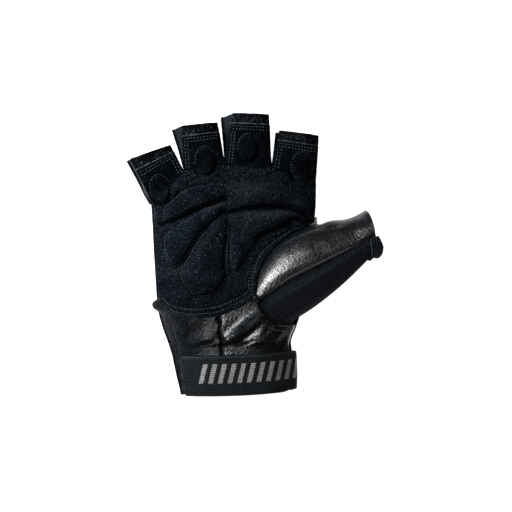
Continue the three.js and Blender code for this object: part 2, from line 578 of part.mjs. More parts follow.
// Side walls of the hand, down the little finger's side and down the index finger's side.
// The outer one ends where the binding takes over, and the inner one above the crotch of the thumb.
const bindingTop = onPalm(HEM_EDGE[0]).y + HEM_OVERLAP + GAP;
const webY = onPalm(THUMB_EDGE.at(-1)).y + OVERLAP;
function handStations(side, fromY, toY, steps) {
  const [front, back] = side < 0 ? ["left", "backLeft"] : ["right", "backRight"];
  const stations = range(steps).map((t) => (inset) => {
    const y = mix(fromY, toY, t);
    const place = (column) => point(section(column, y) - side * inset, y);
    return { top: underFront(handFront, place(front)), low: overBack(handBack, place(back)) };
  });
  return stations.slice(1);
}
const outerHand = handStations(-1, fronts[0].left.y, bindingTop, WALL_STEPS.outer);
const indexHand = handStations(1, fronts[3].right.y, webY, WALL_STEPS.index);
add("outer_side_wall", wall([...stallStations(0, -1, 1, 0), ...outerHand], LEATHER), leather);
add("index_side_wall", wall([...stallStations(3, 1, 1, 0), ...indexHand].toReversed(), KNIT), knit);

// Cuff: two pieces of folded leather under the palm's hem and the strap, with a seam between them. The
// inner one also wraps the cuff's thumb side.
const cuffShares = range(CUFF_ROWS).map((t) =>
  t < OPEN_ROWS ? mix(0, OPEN_SHARE, t / OPEN_ROWS) : mix(OPEN_SHARE, 1, (t - OPEN_ROWS) / (1 - OPEN_ROWS)),
);
function foldHeight({ middle, turn, long, wide, high }, x, y) {
  const away = point(x, y).sub(onCuff(middle)).applyAxisAngle(point(0, 0, 1), -radians(turn));
  away.divideScalar(CUFF_LENGTH);
  return high * CUFF_LENGTH * Math.exp(-((away.x / long) ** 2) - (away.y / wide) ** 2);
}
const cuffHeight = (x, y) =>
  handFront(x, y) + (1 - onStrap(y)) * CUFF_FOLDS.reduce((sum, fold) => sum + foldHeight(fold, x, y), 0);
const cuffPoint = (x, y) => offset(cuffHeight, x, y, -(SUEDE + GAP));
const cuffSeam = (side) =>
  curve(CUFF_SEAM.map(onCuff), cuffShares).map((p) => p.add(point(side * GAP / 2, 0)));
function cuffGrid(seam, side, top, columns) {
  const low = range(columns).map((t) => seam.at(-1).clone().lerp(side.at(-1), t));
  return patch(low, curve(top, range(columns)), seam.toReversed(), side.toReversed(), cuffPoint);
}
function cuffOuter() {
  const side = sideLine("left", onPalm(HEM_EDGE[0]).y + HEM_OVERLAP, cuffLow(-1), cuffShares);
  side.forEach((p) => p.add(point(SEAM_INSET, 0)));
  const seam = cuffSeam(-1);
  const underHem = HEM_EDGE.slice(1, 4).reverse().map((place) => onPalm(place).add(point(0, HEM_OVERLAP)));
  const grid = cuffGrid(seam, side, [seam[0], ...underHem, side[0]], CUFF_COLUMNS);
  return sheet([grid.map((row) => row.toReversed())], LEATHER);
}
function cuffInner() {
  const side = sideLine("right", alongY(CUFF_SIDE_TOP), cuffLow(1), cuffShares);
  side.forEach((p) => p.add(point(-SEAM_INSET, 0)));
  const seam = cuffSeam(1);
  const underHem = CUFF_TOP_EDGE.map(([x, y]) => point(x * PALM_WIDTH, y * PALM_LENGTH));
  const face = cuffGrid(seam, side, [seam[0], ...underHem, side[0]], 2 * CUFF_COLUMNS);
  const wrap = face.map((row) => {
    const from = row.at(-1);
    const low = offset(handBack, from.x, from.y, KNIT + GAP);
    return range(CUFF_SIDE_STEPS).map((t) =>
      from.clone().lerp(low, t).add(point(CUFF_BULGE * Math.sin(Math.PI * t), 0)),
    );
  });
  return sheet([face, wrap], LEATHER);
}
add("cuff_leather_outer", cuffOuter(), leather);
add("cuff_leather_inner", cuffInner(), leather);

// Binding: the leather strip that stands along the cuff's outer side, with its upper end loose.
const bindingStations = range(BINDING_STEPS).map((t) => (inset) => {
  const y = mix(bindingTop - GAP, cuffLow(-1), t);
  const u = Math.min(1, t / TAB_SHARE);
  const out = BINDING_TAB * (1 - u) * Math.sin(Math.PI * u);
  const front = section("left", y) + inset - 0.5 * out;
  const back = section("backLeft", y) + inset - out;
  const top = offset(handFront, front, y, -(SUEDE + 2 * GAP + LEATHER));
  return { top, low: offset(handBack, back, y, KNIT + GAP) };
});
add("side_binding", wall(bindingStations, LEATHER), binding);

// Thumb stall: a tube drawn from its root on the hand to its mouth, with leather on the palm side and knit
// on the back.
const mouthMiddle = point(THUMB_REACH, MOUTH.y * PALM_LENGTH, THUMB_RISE);
const [mouthTurn, mouthTip] = [radians(MOUTH.turn), radians(MOUTH.tip)];
const mouthAcross = point(-Math.sin(mouthTurn), Math.cos(mouthTurn));
const mouthUp = point(
  Math.cos(mouthTurn) * Math.sin(mouthTip),
  Math.sin(mouthTurn) * Math.sin(mouthTip),
  Math.cos(mouthTip),
);
const mouthOut = mouthAcross.clone().cross(mouthUp);
const thumbAxis = point(Math.cos(radians(THUMB_LEAN)), Math.sin(radians(THUMB_LEAN)));
const thumbAcross = point(-thumbAxis.y, thumbAxis.x);
const mouthPoint = (angle) =>
  mouthMiddle.clone()
    .addScaledVector(mouthAcross, 0.5 * THUMB_WIDTH * Math.cos(angle))
    .addScaledVector(mouthUp, 0.5 * THUMB_THICKNESS * Math.sin(angle));
function rootPoint({ x, y, rise }, reach = point(0, 0)) {
  const at = onPalm([x, y]).add(reach);
  const low = offset(handBack, at.x, at.y, KNIT - LEATHER + ROOT_LOW_SLACK);
  return low.lerp(offset(handFront, at.x, at.y, -(SUEDE + ROOT_TOP_SLACK)), rise);
}
const rootWay = ({ inX, inY }) => point(inX, inY).multiplyScalar(OVERLAP);
const ringCurve = (points) => new THREE.CatmullRomCurve3(points, true);
const rootEdge = ringCurve(THUMB_ROOT.map((row) => rootPoint(row)));
const rootTuck = ringCurve(THUMB_ROOT.map((row) => rootPoint(row, rootWay(row))));
const rootBulge = ringCurve(THUMB_ROOT.map((row) => point(row.up, row.out)));
const mouthAngles = [...THUMB_ROOT.map((row) => row.mouth), THUMB_ROOT[0].mouth - 360];
function thumbLine(row) {
  const share = row / THUMB_ROOT.length;
  const whole = Math.min(Math.floor(row), THUMB_ROOT.length - 1);
  const angle = radians(mix(mouthAngles[whole], mouthAngles[whole + 1], row - whole));
  const [from, to, bulge] = [rootEdge.getPoint(share), mouthPoint(angle), rootBulge.getPoint(share)];
  const handle = HANDLE * from.distanceTo(to);
  const side = Math.sign(from.clone().sub(mouthMiddle).dot(thumbAcross));
  const leave = from.clone().addScaledVector(thumbAxis, handle)
    .add(point(0, 0, bulge.x * HAND_THICKNESS))
    .addScaledVector(thumbAcross, side * bulge.y * HAND_THICKNESS);
  const arrive = to.clone().addScaledVector(thumbAxis, -handle);
  const line = new THREE.CubicBezierCurve3(from, leave, arrive, to).getPoints(THUMB_ROWS);
  return [rootTuck.getPoint(share), ...line];
}
function thumbGrid(fromRow, toRow) {
  const steps = Math.round((toRow - fromRow) * 2);
  return range(steps).map((t) => thumbLine(mix(fromRow, toRow, t)));
}
const knitRow = LEATHER_ROWS + KNIT_START;
add("thumb_leather", sheet([thumbGrid(0, LEATHER_ROWS)], LEATHER), leather);
add("thumb_knit", sheet([thumbGrid(knitRow, THUMB_ROOT.length)], KNIT, LEATHER + GAP), knit);

// Thumb band: knit round the part of the mouth that isn't leather.
const bandSteps = 1 + 2 * Math.round(THUMB_ROOT.length - LEATHER_ROWS);
const bandGrid = range(bandSteps).map((t) => {
  const line = thumbLine(mix(knitRow, THUMB_ROOT.length - BAND_STOP, t));
  const end = line.at(-1);
  const flare = end.clone().sub(mouthMiddle).normalize().multiplyScalar(BAND_FLARE);
  const from = line.at(-2).lerp(end, BAND_START);
  return [from, end, end.clone().addScaledVector(mouthOut, THUMB_BAND).add(flare)];
});
add("thumb_band", sheet([bandGrid], KNIT), knit);

// Strap: elastic from the cuff's outer side over its palm side, round the thumb side and under the cuff.
function strap() {
  const rows = range(STRAP_ROWS).map((t) => {
    const middleY = strapY(0, t);
    const left = section("left", middleY) + 2 * SEAM_INSET + LEATHER;
    const right = section("right", middleY) - SEAM_INSET;
    const end = section("backLeft", middleY) + STRAP_END;
    const over = range(STRAP_COLUMNS).map((u) => {
      const x = mix(left, right, u);
      return offset(handFront, x, strapY(x, t), 0);
    });
    const under = range(STRAP_COLUMNS).map((u) => {
      const x = mix(right, end, u);
      return offset(handBack, x, strapY(x, t), -(ELASTIC + GAP));
    });
    const bend = range(BEND_STEPS).slice(1, -1).map((u) => {
      const p = over.at(-1).clone().lerp(under[0], u);
      return p.add(point((ELASTIC + GAP + CUFF_BULGE) * Math.sqrt(Math.sin(Math.PI * u)), 0));
    });
    return [...over, ...bend, ...under];
  });
  return sheet([rows], ELASTIC);
}
add("wrist_strap", strap(), elastic);

const box = new THREE.Box3().setFromObject(group);
const centre = box.getCenter(point(0, 0));
group.position.set(-centre.x, -centre.y, -box.min.z);

export default group;
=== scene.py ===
import math
from functools import partial

import bpy
import numpy as np
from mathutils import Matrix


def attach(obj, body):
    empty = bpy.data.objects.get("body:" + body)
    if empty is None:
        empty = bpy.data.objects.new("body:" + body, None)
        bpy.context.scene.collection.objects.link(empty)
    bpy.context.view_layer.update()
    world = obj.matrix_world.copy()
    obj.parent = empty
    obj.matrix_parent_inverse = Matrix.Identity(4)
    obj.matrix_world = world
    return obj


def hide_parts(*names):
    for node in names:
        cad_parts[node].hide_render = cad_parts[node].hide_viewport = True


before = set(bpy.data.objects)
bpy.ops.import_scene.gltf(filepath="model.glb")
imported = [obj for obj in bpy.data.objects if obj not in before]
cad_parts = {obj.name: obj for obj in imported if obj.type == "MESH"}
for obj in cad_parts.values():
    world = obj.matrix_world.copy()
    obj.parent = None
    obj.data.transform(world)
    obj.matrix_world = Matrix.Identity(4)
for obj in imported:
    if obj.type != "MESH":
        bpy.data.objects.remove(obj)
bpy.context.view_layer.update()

# Table: a wide pale sheet under the glove. A low broad light from beyond the little finger lights the cloth,
# and a higher one on the same side gives the leather its gloss. The camera hangs far above the palm.
FLOOR_SIZE = 6.0
FLOOR_COLOUR = (0.93, 0.93, 0.93, 1)
FLOOR_ROUGHNESS = 0.9
FLOOR_GLOW = 1.1
ROOM_COLOUR = (0.86, 0.93, 1, 1)
ROOM_STRENGTH = 0.03
LIGHT_AIM = (0, 0, 0.01)
SENSOR = 36.0  # mm
LENS = 200.0  # mm
FAR_CLIP = 20
PICTURE_SIDE = 0.3277  # metres of the table that the picture takes in at the glove's middle height
PICTURE_MIDDLE = (0.0011, -0.0010, 0.017)


def studio_light(name, place, size, radiance, colour, share):
    """A square area light that faces the glove, whose brightness is its power over pi times its area. It
    counts only for the matt share or only for the gloss of what it lights."""
    light = bpy.data.lights.new(name, "AREA")
    light.size = size
    light.energy = radiance * math.pi * size * size
    light.color = colour
    lamp = bpy.data.objects.new(name, light)
    lamp.location = place
    away = np.subtract(place, LIGHT_AIM)
    tilt = math.atan2(math.hypot(away[0], away[1]), away[2])
    lamp.rotation_euler = (0, tilt, math.atan2(away[1], away[0]))
    lamp.visible_camera = False
    lamp.visible_diffuse = share == "matt"
    lamp.visible_glossy = share == "gloss"
    bpy.context.scene.collection.objects.link(lamp)


def new_nodes(name):
    """A fresh material with its node tree and its shader."""
    made = bpy.data.materials.new(name)
    made.use_nodes = True
    return made, made.node_tree, made.node_tree.nodes["Principled BSDF"]


floor_mesh = bpy.data.meshes.new("table_top")
floor_corners = [(x * FLOOR_SIZE / 2, y * FLOOR_SIZE / 2, 0)
                 for x, y in ((-1, -1), (1, -1), (1, 1), (-1, 1))]
floor_mesh.from_pydata(floor_corners, [], [(0, 1, 2, 3)])
floor = bpy.data.objects.new("table_top", floor_mesh)
bpy.context.scene.collection.objects.link(floor)
floor_finish, floor_tree, floor_shader = new_nodes("white_table")
floor_shader.inputs["Base Color"].default_value = FLOOR_COLOUR
floor_shader.inputs["Roughness"].default_value = FLOOR_ROUGHNESS
floor_shader.inputs["Emission Color"].default_value = (1, 1, 1, 1)
floor_shader.inputs["Emission Strength"].default_value = FLOOR_GLOW
floor_mesh.materials.append(floor_finish)

room = bpy.data.worlds.new("room")
room.use_nodes = True
room.node_tree.nodes["Background"].inputs["Color"].default_value = ROOM_COLOUR
room.node_tree.nodes["Background"].inputs["Strength"].default_value = ROOM_STRENGTH
bpy.context.scene.world = room
studio_light("low_light", (-0.95, 0.62, 0.6), 0.65, 20.0, (0.93, 0.97, 1.0), "matt")
studio_light("soft_box", (-0.5, -0.14, 1.0), 0.4, 34.0, (0.96, 0.98, 1.0), "gloss")

eye = bpy.data.cameras.new("camera")
eye.lens = LENS
eye.sensor_width = SENSOR
eye.clip_end = FAR_CLIP
camera = bpy.data.objects.new("camera", eye)
camera.location = np.add(PICTURE_MIDDLE, (0, 0, PICTURE_SIDE * LENS / SENSOR))
bpy.context.scene.collection.objects.link(camera)
bpy.context.scene.camera = camera
bpy.context.scene.view_settings.view_transform = "Standard"

# Palm: one piece of black split suede with a short nap, from the curved hem at the wrist to the finger
# stalls. Foam is quilted under it in long pads that follow the hand's creases, each closed off by a row of
# stitches, and small ovals of foam sit at the roots of the fingers. It is worn grey where it meets the bar.
MM = 0.001
MIDDLE = np.array([-12.576, -40.341, 0.0])  # from the palm's own origin to the middle of the glove
PALM_WIDTH = 102.4
PALM_LENGTH = 94.4
WRIST_WIDTH = 73.6
CUFF_LENGTH = 50.0
HAND_THICKNESS = 30.0
FINGER_REACH = 34.3
FINGER_WIDTH = 25.6
FINGER_THICKNESS = 17.0
FINGER_CURL = 6.5
CURL_POWER = 1.6
HEM_LENGTH = 6.0
SUEDE = 1.5
GAP = 0.35
CROWN_POWER = 3.2
FINGER_POWER = 3.6
FINGER_CROWN = 0.2
FINGER_TURN = 0.16
STALL_BLEND = 0.5
SHOWN_BACK = 0.25  # how far a back corner that stands out is also drawn back, as a share of that
SUEDE_BLACK = (0.0012, 0.0022, 0.0036)
SUEDE_NAP = (0.0115, 0.0175, 0.025)
SUEDE_WORN = (0.1, 0.108, 0.115)
SUEDE_WARM = (0.085, 0.074, 0.066)
SUEDE_SHADOW = (0.0008, 0.0012, 0.002)
SUEDE_CUT = (0.09, 0.098, 0.105)

# Sections of the hand from the cuff's end to the fingers: width, height, left and right edges of the palm
# side and of the back as shares of the width, then the palm side's crown and edge and both edges of the
# back, as shares of the thickness.
HAND_SECTIONS = np.array([
    [WRIST_WIDTH, -1.0 * CUFF_LENGTH, -0.461, 0.513, -0.474, 0.513, 0.7, 0.4, 0.17, 0.17],
    [WRIST_WIDTH, -0.74 * CUFF_LENGTH, -0.476, 0.517, -0.513, 0.517, 0.72, 0.42, 0.17, 0.17],
    [WRIST_WIDTH, -0.49 * CUFF_LENGTH, -0.493, 0.509, -0.548, 0.509, 0.75, 0.44, 0.15, 0.15],
    [WRIST_WIDTH, -0.32 * CUFF_LENGTH, -0.528, 0.491, -0.587, 0.491, 0.8, 0.47, 0.14, 0.12],
    [PALM_WIDTH, -0.12 * CUFF_LENGTH, -0.406, 0.386, -0.456, 0.386, 0.87, 0.51, 0.13, 0.05],
    [PALM_WIDTH, 0.04 * PALM_LENGTH, -0.443, 0.413, -0.481, 0.413, 0.94, 0.55, 0.13, 0],
    [PALM_WIDTH, 0.14 * PALM_LENGTH, -0.47, 0.431, -0.491, 0.431, 0.98, 0.58, 0.13, 0],
    [PALM_WIDTH, 0.25 * PALM_LENGTH, -0.484, 0.453, -0.498, 0.453, 1.0, 0.6, 0.13, 0],
    [PALM_WIDTH, 0.46 * PALM_LENGTH, -0.494, 0.484, -0.509, 0.484, 0.97, 0.6, 0.14, 0],
    [PALM_WIDTH, 0.63 * PALM_LENGTH, -0.498, 0.503, -0.517, 0.5, 0.9, 0.58, 0.15, 0.12],
    [PALM_WIDTH, 0.78 * PALM_LENGTH, -0.506, 0.506, -0.528, 0.5, 0.83, 0.56, 0.17, 0.17],
    [PALM_WIDTH, 1.0 * PALM_LENGTH, -0.54, 0.51, -0.56, 0.503, 0.78, 0.53, 0.17, 0.17],
    [PALM_WIDTH, 1.4 * PALM_LENGTH, -0.6, 0.52, -0.62, 0.51, 0.75, 0.5, 0.17, 0.17],
])
COLUMNS = ["left", "right", "back_left", "back_right", "crown", "edge", "back_edge", "thumb_edge"]

# Finger stalls: their two crotches as shares of the palm, lean, reach, width and skew of the mouth, and how
# far the back's corners stand out at the root and at both sides of the mouth, as shares of a stall's width.
STALL_COLUMNS = ("base", "lean", "reach", "end", "skew", "root_left", "show_left", "show_right")
STALL_TABLE = {
    "little": ([[-0.508, 0.776], [-0.314, 0.987]], -27.9, 0.73, 1.094, -7.9, -0.13, -0.04, -0.06),
    "ring": ([[-0.314, 0.987], [-0.059, 1.025]], -6.8, 0.827, 0.94, -1, 0, -0.24, -0.1),
    "middle": ([[-0.059, 1.025], [0.23, 1.0]], 2.6, 1, 0.945, 0.5, 0, -0.29, -0.1),
    "index": ([[0.23, 1.0], [0.509, 0.932]], 7.1, 0.773, 1.019, -0.2, 0, -0.08, -0.05),
}
STALLS = {name: dict(zip(STALL_COLUMNS, row)) for name, row in STALL_TABLE.items()}

# Edges of the suede, as shares of the palm.
HEM_EDGE = [[-0.461, 0.087], [-0.397, 0.035], [-0.289, 0.004], [-0.209, 0], [-0.106, 0.013], [-0.01, 0.052],
            [0.1, 0.121]]
THUMB_EDGE = [[0.128, 0.155], [0.131, 0.183], [0.139, 0.267], [0.166, 0.351], [0.214, 0.442], [0.286, 0.52],
              [0.369, 0.579], [0.44, 0.617], [0.492, 0.645]]
INDEX_EDGE = [[0.492, 0.645], [0.496, 0.66], [0.506, 0.75], [0.509, 0.932]]

# Quilted pads, in mm from the middle of the knuckles and the lowest point of the hem.
QUILTED = {
    "knuckles": [[-44.8, 61.5], [-45.3, 65.0], [-43.6, 70.7], [-39.6, 74.7], [-34.2, 79.7], [-27.5, 82.5],
                 [-21.3, 84.0], [-12.1, 85.2], [-5.0, 84.7], [4, 85.5], [16, 86.4], [30, 84.5], [42, 81],
                 [47.5, 76], [48.5, 69], [44, 67.5], [37.4, 70.6], [30.1, 71.6], [22.8, 71.6], [11.8, 70.9],
                 [4.4, 70.6], [-2, 73], [-5.9, 76.6], [-10.5, 75.6], [-16.2, 73.2], [-23.0, 70.4],
                 [-29.9, 67.4], [-36.8, 63.9], [-41.5, 62]],
    "little_side": [[-44.2, 52.4], [-39.6, 56.4], [-33.3, 60.4], [-27.6, 63.8], [-23.0, 66.7], [-18.5, 69.0],
                    [-12.8, 70.6], [-8.5, 71.2], [-9.5, 66], [-14, 61.5], [-19.3, 56.4], [-21.1, 54.6],
                    [-24.0, 51.6], [-26.9, 46.8], [-29.2, 42.8], [-32.4, 38.0], [-35.0, 34.7], [-37.2, 33.1],
                    [-39.4, 32.9], [-41.7, 34.0], [-43.1, 36.2], [-44.0, 40.6], [-44.4, 45.0],
                    [-44.6, 49.4]],
    "heel": [[-18.5, 55.3], [-21.1, 51.6], [-24.0, 47.2], [-26.2, 43.5], [-28.8, 38.4], [-31.4, 34.7],
             [-33.2, 31.4], [-34.3, 28.1], [-33.9, 25.5], [-32.1, 21.9], [-28.8, 18.2], [-25.6, 15.5],
             [-21.9, 14.1], [-18.6, 14.1], [-15.0, 15.1], [-11.3, 17.2], [-8.0, 20.8], [-6.0, 24.9],
             [-5.4, 28.5], [-6.0, 31.0], [-6.4, 36.5], [-6.4, 42.0], [-5.6, 46.5], [-4.9, 53.1],
             [-4.5, 57.5], [-5.5, 63], [-10, 63.5], [-14.5, 60]],
    "thumb_side": [[-2.0, 57.5], [-2.7, 49.4], [-2.7, 42.0], [-2.7, 36.5], [-2.4, 31.8], [-0.9, 29.6],
                   [0.6, 28.9], [2.4, 30.3], [5.1, 33.6], [8.8, 40.3], [12.5, 46.1], [14.7, 50.2],
                   [17.6, 53.4], [22.8, 55.7], [30.1, 58.9], [34.6, 61.6], [33.4, 66.2], [28, 67.8],
                   [18, 67.6], [8, 66.6], [0, 64.6], [-2.5, 62]],
}
PAD_HEIGHT = {"knuckles": 2.3, "little_side": 2.6, "heel": 2.5, "thumb_side": 2.5}
PAD_ROUND = 5.5  # the width over which a pad rises from its seam
PAD_CROWN, PAD_CROWN_FROM, PAD_CROWN_TO = 0.7, 2, 12  # what it still gains further in, and where
SEAM_SINK, SEAM_SINK_WIDTH = 0.4, 0.75

# Deep creases between the pads: line, depth and half width.
CREASES = [
    ([[-46.5, 59.6], [-42.5, 60.4], [-36.8, 62.4], [-29.9, 65.8], [-23.0, 68.7], [-16.2, 71.4],
      [-10.5, 73.6], [-5.9, 75.2]], 1.5, 1.3),
    ([[-6, 67.5], [-3.9, 66.9], [4.4, 68.6], [11.8, 69.4], [22.8, 70.1], [30.1, 70.1], [37.4, 69.2],
      [43.0, 66.7], [47.7, 63.0], [50.6, 60.0]], 2.0, 1.4),
    ([[13.6, 48.4], [15.5, 51.3], [18.4, 53.2], [22.8, 55.0], [30.1, 58.2], [34.9, 60.8], [38.4, 62.8],
      [42, 61.8], [46, 59.5]], 1.5, 1.2),
    ([[-22.0, 52.6], [-25.5, 47.4], [-28.3, 42.5], [-31.4, 37.4], [-34.2, 34.0], [-37.2, 32.2],
      [-40.0, 32.2]], 0.5, 1.0),
    ([[-53.2, 77], [-50.3, 73.4], [-46.5, 72.2], [-42.5, 73.4], [-38.6, 76.6], [-35.4, 80.0]], 1.3, 1.1),
]
# Soft folds that stand up: line, height and half width.
FOLDS = [
    ([[38.6, 66.0], [43.5, 63.4], [47.5, 59.6]], 0.9, 1.1),
    ([[37.0, 66.8], [41.2, 65.2], [44.6, 62.2]], 0.6, 0.8),
    ([[-4.3, 58.5], [-3.9, 50], [-4.5, 42], [-4.4, 36], [-3.6, 31]], 0.7, 1.0),
    ([[-20.2, 54.9], [-22.6, 51.4], [-25.6, 46.6], [-27.7, 42.8], [-30.6, 37.8]], 0.6, 0.9),
    ([[36.0, 61.4], [39.6, 61.0], [43.2, 58.6], [45, 56.9]], 0.5, 0.8),
    ([[-27, 90.5], [-21, 89.4], [-14, 90.6], [-8.5, 92.6]], 0.8, 1.2),
    ([[1.8, 97.0], [7.5, 95.6], [13, 96.2], [18.4, 98.2]], 0.8, 1.2),
    ([[-30, 87.5], [-34.5, 84.5], [-38, 82.4]], 0.5, 1.0),
    ([[30, 86.8], [38, 86.0], [47, 84.2]], 0.5, 1.3),
]
# Worn patches: middle, half widths, turn in degrees, strength, and how warm the grey is.
WORN = np.array([
    [5.4, 78.3, 8.5, 8, 20, 0.5, 0.5], [14, 82, 7, 4, 10, 0.3, 0.4], [22.0, 65.6, 15, 2.6, 4, 0.6, 0.7],
    [30.8, 67.2, 3.6, 0.8, -20, 1.0, 0.9], [33.0, 65.2, 1.3, 2.0, -30, 1.0, 0.9],
    [12, 60, 11, 6, 15, 0.3, 0.5],
    [-3.9, 44.5, 1.2, 13, -2, 0.6, 1.0], [-3.5, 41.0, 1.6, 4, 0, 0.4, 1.0],
    [-27, 70.5, 14, 3, 27, 0.25, 0.2],
    [-19.5, 47, 10, 2.2, 56, 0.3, 0.5], [-38, 30, 7, 4, 10, 0.3, 0.6], [-13, 71.2, 7, 1.0, 24, 0.7, 0.4],
    [40, 74, 8, 4, -20, 0.3, 0.5], [7, 94.5, 9, 1.6, 0, 0.5, 0.6], [-18, 88.8, 9, 1.4, 0, 0.45, 0.4],
    [10, 30, 3, 10, -28, 0.25, 0.3], [40, 60.6, 4, 1.2, -24, 0.7, 0.9],
])
# Stitched rows on the palm, in mm. The rows that close the pads follow the pads' own outlines.
PALM_ROWS_OF_STITCHES = [
    QUILTED["knuckles"][:9],
    [*QUILTED["little_side"][:5], [-18.5, 69.5], [-12.8, 71.2], [-7.6, 73.0]],
    [QUILTED["little_side"][0], *QUILTED["little_side"][:10:-1]],
    QUILTED["heel"][:25],
    QUILTED["thumb_side"][:12],
    [[43.3, 57.6], [37.5, 56.2], [30.5, 52.2], [24.6, 48.2], [20.5, 44.7], [16.9, 39.9], [14.3, 35.5],
     [12.5, 29.2], [11.4, 23.7], [11.2, 17.5], [12.5, 12.0]],
    [[17.6, 42.0], [15.2, 38.2], [13.2, 34.0], [11.6, 31.0], [10.6, 27.8], [9.2, 23.0], [9.0, 18.0]],
    [[-46.4, 13.1], [-41.9, 8.6], [-35.8, 6.3], [-25.6, 5.3], [-17.4, 5.9], [-9.2, 7.7], [-1.1, 11.0],
     [7.1, 15.5], [10.6, 18.6]],
    [[-46.4, 9.4], [-38.7, 4.3], [-29.6, 2.2], [-19.5, 2.6], [-9.2, 4.3], [-1.1, 8.2], [7.1, 12.7],
     [11.0, 15.6]],
    [[-34.6, 92.6], [-31.6, 93.4], [-28.0, 91.6]],
    [[-8.0, 97.2], [-5.6, 95.2], [-3.4, 97.0]],
    [[20.8, 96.0], [23.0, 93.8], [25.4, 95.4]],
]
# Foam ovals: middle, half widths and turn in degrees.
FINGER_PADS = {
    "little": (-47.7, 82.2, 6.4, 9.4, 12),
    "ring": (-18.9, 99.8, 6.4, 9.4, 4),
    "middle": (8.6, 108.4, 6.4, 9.0, 0),
    "index": (43.1, 96.3, 7.0, 9.6, -3),
}
FINGER_PAD_HEIGHT = 2.0
FINGER_PAD_ROUND = 3.2
HEM_STEP, HEM_TURN_FROM, HEM_TURN_TO = 0.45, 5.0, 4.2  # what the turned hem adds, and how far before its end
HEM_ROWS, SIDE_ROWS = (1.9, 3.8), (1.7, 3.5)  # how far the double rows lie from the hem and from the side
ROW_SINK, ROW_SINK_WIDTH = 0.3, 0.6
# The ovals' seam, the crease below each and the fold below that: depth or height, ring and half width.
OVAL_SEAM = 0.35
CREASE_DEPTH, CREASE_RING, CREASE_WIDTH = 0.8, 1.06, 0.9
FOLD_HEIGHT, FOLD_RING, FOLD_WIDTH = 0.6, 1.38, 1.1
# How much painted shade lies along the stitched rows and round the ovals.
SEAM_SHADE, OVAL_SHADE = 0.35, 0.4
OVAL_REACH, OVAL_FADE = 11, (-14, -9)  # how far aside and how far down on the palm an oval counts
QUILTING_END = 4  # how far up a stall the palm's quilting goes on
PALM_WAVES = ((0.16, 15, 3), (0.07, 5, 4))  # height, size and seed of the cloth's unevenness
STALL_WAVE = 0.1
FAR = 9.0
SLOPE_STEP = 0.4
SPAN_POINTS = 24
SEWN_PER_MM = 500  # how finely points are told apart when grids are sewn


def section(column, y):
    """One measure of the hand's sections at heights y, by a cubic through the four rows nearest."""
    rows = HAND_SECTIONS[:, 1]
    across = column in COLUMNS[:4]
    value = HAND_SECTIONS[:, 2 + COLUMNS.index(column)] * (HAND_SECTIONS[:, 0] if across else HAND_THICKNESS)
    held = np.clip(y, rows[0], rows[-1])
    i = np.clip(np.searchsorted(rows, held), 1, len(rows) - 1)
    t = (held - rows[i - 1]) / (rows[i] - rows[i - 1])
    a, b, c, d = (value[np.clip(i + k, 0, len(rows) - 1)] for k in (-2, -1, 0, 1))
    return b + 0.5 * t * (c - a + t * (2 * a - 5 * b + 4 * c - d + t * (3 * (b - c) + d - a)))


def ease(x, low, high):
    """0 below low, 1 above high and the smooth cubic between."""
    t = np.clip((x - low) / (high - low), 0, 1)
    return t * t * (3 - 2 * t)


def mix(a, b, t):
    """The straight blend from a to b."""
    return a * (1 - t) + b * t


def hand_front(x, y):
    """The bare palm side: its edge's height plus a crown of one less a power of the way from the middle."""
    left, right = section("left", y), section("right", y)
    t = np.minimum(np.abs((2 * x - left - right) / (right - left)), 1.05)
    edge = section("edge", y)
    return edge + (section("crown", y) - edge) * (1 - t**CROWN_POWER)


def stall_frame(name, hand, back=False):
    """A finger stall's four corners in plan, its axis, the turn of its rows and its side of the hand."""
    row = STALLS[name]
    left, right = np.array(row["base"]) * [PALM_WIDTH, PALM_LENGTH]
    left = left + [row["root_left"] * FINGER_WIDTH * back, 0]
    lean = math.radians(row["lean"])
    axis = np.array([math.sin(lean), math.cos(lean)])
    middle = (left + right) / 2
    mouth = middle + axis * row["reach"] * FINGER_REACH
    turn = math.radians(row["skew"] - row["lean"])
    half = np.array([math.cos(turn), math.sin(turn)]) * row["end"] * FINGER_WIDTH / 2
    shown = np.array([[row["show_left"], SHOWN_BACK * row["show_left"]], [row["show_right"], 0]])
    shown = shown * FINGER_WIDTH * back
    return dict(left=left, right=right, middle=middle, axis=axis, turn=turn, hand=hand, back=back,
                length=row["reach"] * FINGER_REACH,
                mouth_left=mouth - half + shown[0], mouth_right=mouth + half + shown[1])


def stall_place(stall, s, v):
    """The point in plan at s across, from -1 to 1, and v along a stall: a blend of its four corners."""
    s, v = np.broadcast_arrays((np.asarray(s, float) + 1) / 2, np.asarray(v, float))
    s, v = s[..., None], v[..., None]
    return mix(mix(stall["left"], stall["right"], s), mix(stall["mouth_left"], stall["mouth_right"], s), v)


def stall_height(stall, x, y):
    """A stall's surface: the hand's own near the root, then a flat oval that curls up along the finger."""
    away = np.stack([x, y], -1) - stall["middle"]
    v = away @ stall["axis"] / stall["length"]
    held = np.clip(v, 0, 1)
    centre = stall_place(stall, 0, held)
    half = np.linalg.norm(stall_place(stall, 1, held) - stall_place(stall, -1, held), axis=-1) / 2
    cos, sin = math.cos(stall["turn"]), math.sin(stall["turn"])
    s = ((x - centre[..., 0]) * cos + (y - centre[..., 1]) * sin) / half
    own = np.minimum(np.abs(s), 1.15) ** FINGER_POWER
    lift = FINGER_CURL * np.maximum(0, v) ** CURL_POWER
    top = section("crown", PALM_LENGTH)
    if stall["back"]:
        shape = lift + FINGER_TURN * FINGER_THICKNESS * own
    else:
        shape = lift + mix(top, FINGER_THICKNESS, ease(v, 0, 1)) - FINGER_CROWN * FINGER_THICKNESS * own
    return mix(stall["hand"](x, y), shape, ease(v, 0, STALL_BLEND))


